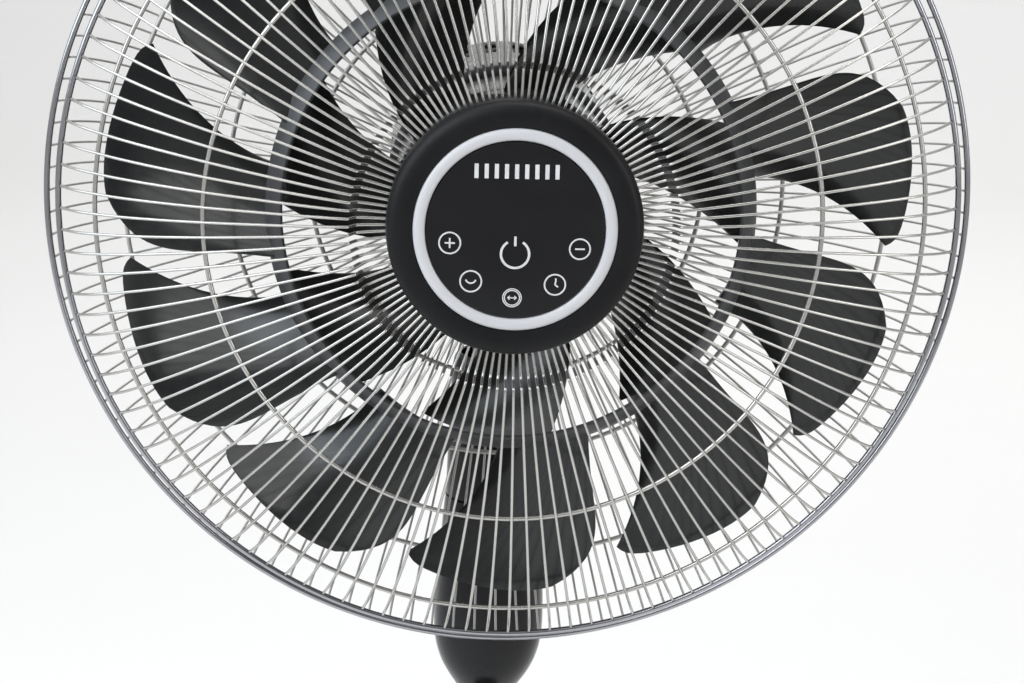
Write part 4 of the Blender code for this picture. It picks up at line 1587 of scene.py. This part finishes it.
@dataclass
class ControlPanel:
    """The cap in the middle of the guard: its rim, the pale ring and the gloss touch panel."""

    shop: Workshop
    dome: float = 1.0
    turn: float = 0.4
    stroke: float = 0.75
    segments: int = 192

    def build(self) -> None:
        """Makes every piece of the panel."""
        self.cap()
        self.ring()
        self.glass()
        self.symbols()
        self.shop.repaint("panel_board", BOARD)

    def cap(self) -> None:
        """The grained cap with its rounded shoulder and deep edge."""
        back, face = head_depth("control_cap")
        reach = node_radius("control_cap")
        edge = face - 12.4
        shoulder = flowing(
            [
                (48.4, face - 0.4), (51, face - 0.1), (54.5, face - 0.15), (57.6, face - 0.9),
                (59.6, face - 2.6), (reach - 0.15, face - 5.2), (reach, face - 8),
            ],
            4,
        )
        profile = [
            *shoulder, (reach, edge + 0.8), (reach - 0.6, edge), (49.4, edge), (49.4, back), (47, back),
        ]
        profile += [(47, face - 6), (5, face - 6), (5, face - 3.5), (48.4, face - 3.5)]
        self.shop.turned(
            "panel_cap", profile, CAP_CHARCOAL, "head", ["control_cap"], HEAD, segments=self.segments
        )

    def ring(self) -> None:
        """The pale ring round the panel, gently crowned."""
        back, face = head_depth("light_ring")
        outer = node_radius("light_ring")
        inner = outer - 6
        crown = [(inner + 0.2, face - 1.2), (inner + 1, face - 0.45), (inner + 2.4, face - 0.05)]
        crown += [(outer - 2.4, face - 0.05), (outer - 1, face - 0.45), (outer - 0.1, face - 1.4)]
        profile = [*flowing(crown, 4), (outer, back), (inner, back)]
        self.shop.turned(
            "halo_ring", profile, RING_GREY, "head", ["light_ring"], HEAD, segments=self.segments
        )

    def height(self, radius: float) -> float:
        """The depth of the panel's face at that radius."""
        reach = node_radius("touch_panel")
        return head_depth("touch_panel")[1] - 0.15 - self.dome * (radius / reach) ** 2.4

    def glass(self) -> None:
        """The gently domed touch panel."""
        back = head_depth("touch_panel")[0]
        reach = node_radius("touch_panel")
        steps = 24
        face = [(reach * step / steps, self.height(reach * step / steps)) for step in range(steps)]
        face += [
            (reach - 0.3, self.height(reach) + 0.02), (reach, self.height(reach) - 0.35), (reach, back),
            (0, back),
        ]
        self.shop.turned(
            "touch_glass", face, PANEL_GLOSS, "head", ["touch_panel"], HEAD, segments=self.segments,
            ring=False,
        )

    def symbols(self) -> None:
        """The printed symbols, each a thin raised print on the glass."""
        hands = [[(0, 0), (0.35, 1.6), (0.3, 3.1)], [(0, 0), (1.5, -1.1)]]
        drawings = {
            "plus": self._in_circle((-30.6, -6.3), 5.0, [[(-2.4, 0), (2.4, 0)], [(0, -2.4), (0, 2.4)]]),
            "minus": self._in_circle((30.3, -8.2), 4.8, [[(-2.3, 0), (2.3, 0)]]),
            "power": [arc((0, -11), 6.6, 122, 296, 40), [(0, -7.2), (0, -2.6)]],
            "night": self._in_circle((-20.4, -24.4), 5.0, [arc((0, 1.6), 2.5, 200, 140, 16)]),
            "timer": self._in_circle((19.1, -25.4), 4.9, hands),
            "swing": self._swing((-0.9, -32)),
            "level": [[(-18.8 + 4.7 * bar, 24.6), (-18.8 + 4.7 * bar, 31.4)] for bar in range(9)],
        }
        widths = {"power": 1.15, "level": 1.9, "swing": 0.5}
        for name, lines in drawings.items():
            book = MeshBook()
            for line in lines:
                self._print(book, line, widths.get(name, self.stroke))
            self.shop.piece(f"print_{name}", book, PRINTED_GREY, "head", (), HEAD, sharp=80)

    def _in_circle(
        self, centre: tuple[float, float], radius: float, lines: Sequence[Profile]
    ) -> list[list[tuple[float, float]]]:
        """A circle with lines drawn inside it, given from its centre."""
        moved = [[(centre[0] + x, centre[1] + y) for x, y in line] for line in lines]
        return [arc(centre, radius, 0, 360, 48), *moved]

    def _swing(self, centre: tuple[float, float]) -> list[list[tuple[float, float]]]:
        """Two circles, one in the other, with an arrow head to each side."""
        x, y = centre
        lines = [arc(centre, 4.35, 0, 360, 48), arc(centre, 3.55, 0, 360, 48), [(x - 2, y), (x + 2, y)]]
        for side in (-1, 1):
            lines.append([(x + side * 1.1, y + 0.9), (x + side * 2.1, y), (x + side * 1.1, y - 0.9)])
        return lines

    def _print(self, book: MeshBook, line: Profile, width: float) -> None:
        """Adds one stroke as a thin band that follows the panel's dome.

        Args:
            book: the mesh that it joins.
            line: points from the panel's centre, right and up.
            width: the stroke's width.
        """
        turn = math.radians(self.turn)
        cos, sin = math.cos(turn), math.sin(turn)
        path = [Vector((x * cos - y * sin, x * sin + y * cos)) for x, y in line]
        closed = (path[0] - path[-1]).length < 1e-3
        if closed:
            path.pop()
        count = len(path)
        points: list[Point] = []
        for step in range(count):
            before = path[step - 1] if step or closed else path[step]
            after = path[(step + 1) % count] if step < count - 1 or closed else path[step]
            ahead = (after - before).normalized()
            side = Vector((-ahead.y, ahead.x)) * width / 2
            for lift in (0.06, -0.25):
                for edge in (path[step] + side, path[step] - side):
                    points.append((edge.x, edge.y, self.height(edge.length) + lift))
        faces: list[tuple[int, ...]] = []
        for step in range(count if closed else count - 1):
            here, there = step * 4, ((step + 1) % count) * 4
            for a, b in ((0, 1), (1, 3), (3, 2), (2, 0)):
                faces.append((here + a, here + b, there + b, there + a))
        if not closed:
            last = (count - 1) * 4
            faces += [(0, 2, 3, 1), (last, last + 1, last + 3, last + 2)]
        book.add(points, faces)


# --------------------------------------------------------------------------- studio


@dataclass
class Studio:
    """The plain floor and backdrop, the soft lights and the camera."""

    shop: Workshop
    pale: Colour = (0.80, 0.795, 0.785)
    dim: Colour = (0.09, 0.105, 0.125)
    paper: Colour = (1.0, 0.99, 0.98)
    left_share: float = -0.55
    strength: float = 0.84
    lens: float = 92.6
    down: float = 13.43
    across: float = 2.44
    roll: float = 1.9
    distance: float = 1300.0
    rise: float = 68.9
    aside: float = 3.3

    def build(self) -> None:
        """Makes the stage, the lights and the camera."""
        self.stage()
        self.world()
        self.lights()
        self.camera()

    def stage(self) -> None:
        """One pale sheet that is floor in front and sweeps up far behind the fan."""
        sheet = bpy.data.meshes.new("pale_floor")
        back, bend, wide = 7.0, 2.0, 28.0
        side = [(-40.0, 0.0), (-7.0, 0.0), (0.0, 0.0), (back - bend, 0.0)]
        for step in range(1, 25):
            angle = math.radians(90 * step / 24)
            side.append((back - bend + bend * math.sin(angle), bend - bend * math.cos(angle)))
        side.append((back, 6.0))
        points = [(x, y, z) for y, z in side for x in (-wide, wide)]
        faces = [(2 * i, 2 * i + 1, 2 * i + 3, 2 * i + 2) for i in range(len(side) - 1)]
        sheet.from_pydata(points, [], faces)
        sheet.shade_smooth()
        floor = bpy.data.objects.new("pale_floor", sheet)
        bpy.context.scene.collection.objects.link(floor)
        shade = tuple(0.985 * tone for tone in self.pale)
        rough = (0.7, 0.85)
        finish = Finish(
            "pale_paper", "stage", self.pale, shade, rough, patch=1.5, grain=400, relief=0.00005
        )
        sheet.materials.append(self.shop.paints.material(finish))

    def world(self) -> None:
        """A surround that is pale above, behind and to the left, and dim on the front right."""
        world = bpy.data.worlds.new("soft_room")
        world.use_nodes = True
        tree = world.node_tree
        place = add_node(tree, "TexCoord").outputs["Generated"]
        split = add_node(tree, "SeparateXYZ", {0: place}).outputs
        rearward = add_node(tree, "Math", {0: split["Y"], 1: split["Z"]}, operation="ADD")
        leftward = {0: split["X"], 1: self.left_share, 2: rearward.outputs[0]}
        toward = add_node(tree, "Math", leftward, operation="MULTIPLY_ADD")
        spread = add_node(tree, "MapRange", {"Value": toward.outputs[0], "From Min": -0.9, "From Max": 0.7})
        tone = add_node(tree, "ValToRGB", {"Fac": spread.outputs["Result"]})
        tone.color_ramp.elements[0].color = (*self.dim, 1)
        tone.color_ramp.elements[1].color = (1.0, 1.0, 1.0, 1)
        seen = add_node(tree, "LightPath").outputs["Is Camera Ray"]
        tints = {"Fac": seen, "Color1": tone.outputs["Color"], "Color2": (*self.paper, 1)}
        paper = add_node(tree, "MixRGB", tints)
        light = tree.nodes["Background"]
        tree.links.new(paper.outputs["Color"], light.inputs["Color"])
        light.inputs["Strength"].default_value = self.strength
        bpy.context.scene.world = world
        bpy.context.scene.view_settings.view_transform = "Standard"

    def lights(self) -> None:
        """A key box from the upper left, a weaker one from the right, and a wash on the backdrop."""
        self._box("key_box", (-1.2, -1.9, 2.0), (0, -0.1, 0.85), (1.7, 1.7), 21)
        self._box("window", (-1.95, -0.9, 2.15), (0, -0.1, 0.9), (2.2, 2.2), 46, (0.78, 0.89, 1.0))
        self._box("fill_box", (1.7, -1.2, 1.5), (0, -0.1, 0.85), (0.8, 1.4), 14)
        self._box("top_box", (0.1, 0.2, 2.6), (0, 0.0, 0.8), (1.6, 1.2), 22)
        self._box("back_wash", (1.2, 2.5, 4.0), (1.2, 7.0, 1.0), (4.0, 1.0), 120)

    def _box(
        self,
        name: str,
        place: tuple[float, float, float],
        towards: tuple[float, float, float],
        size: tuple[float, float],
        power: float,
        tint: Colour = (1.0, 1.0, 1.0),
    ) -> None:
        """Adds one softbox.

        Args:
            name: the light's name.
            place: where it hangs, in metres.
            towards: the point that it faces.
            size: its width and height.
            power: its power in watts.
            tint: its colour.
        """
        light = bpy.data.lights.new(name, "AREA")
        light.shape = "RECTANGLE"
        light.size, light.size_y = size
        light.energy = power
        light.color = tint
        lamp = bpy.data.objects.new(name, light)
        lamp.location = place
        lamp.rotation_euler = (Vector(towards) - Vector(place)).to_track_quat("-Z", "Y").to_euler()
        bpy.context.scene.collection.objects.link(lamp)

    def camera(self) -> None:
        """The camera, in front of the head and a little above it."""
        down, across = math.radians(self.down), math.radians(self.across)
        ahead = Vector((math.sin(across), math.cos(down) * math.cos(across), -math.sin(down))).normalized()
        right = ahead.cross(Vector((0, 0, 1))).normalized()
        up = right.cross(ahead)
        place = FAN_CENTRE + right * self.aside - up * self.rise - ahead * self.distance
        lean = Matrix.Rotation(math.radians(-self.roll), 3, ahead)
        right, up = lean @ right, lean @ up
        eye = bpy.data.cameras.new("front_view")
        eye.lens = self.lens
        eye.sensor_width = 36
        eye.clip_start = 0.05
        view = bpy.data.objects.new("front_view", eye)
        turn = Matrix((right, up, -ahead)).transposed().to_4x4()
        view.matrix_world = Matrix.Translation(place * MM) @ turn
        bpy.context.scene.collection.objects.link(view)
        bpy.context.scene.camera = view


def main() -> None:
    """Builds the fan and its studio."""
    logging.basicConfig(level=logging.INFO, format="%(name)s %(message)s")
    shop = Workshop()
    Studio(shop).build()
    for assembly in (Base, Pole, Neck, Motor, Impeller, Guard, ControlPanel):
        assembly(shop).build()
    LOG.info("%d pieces made", shop.count)


if __name__ == "__main__":
    main()
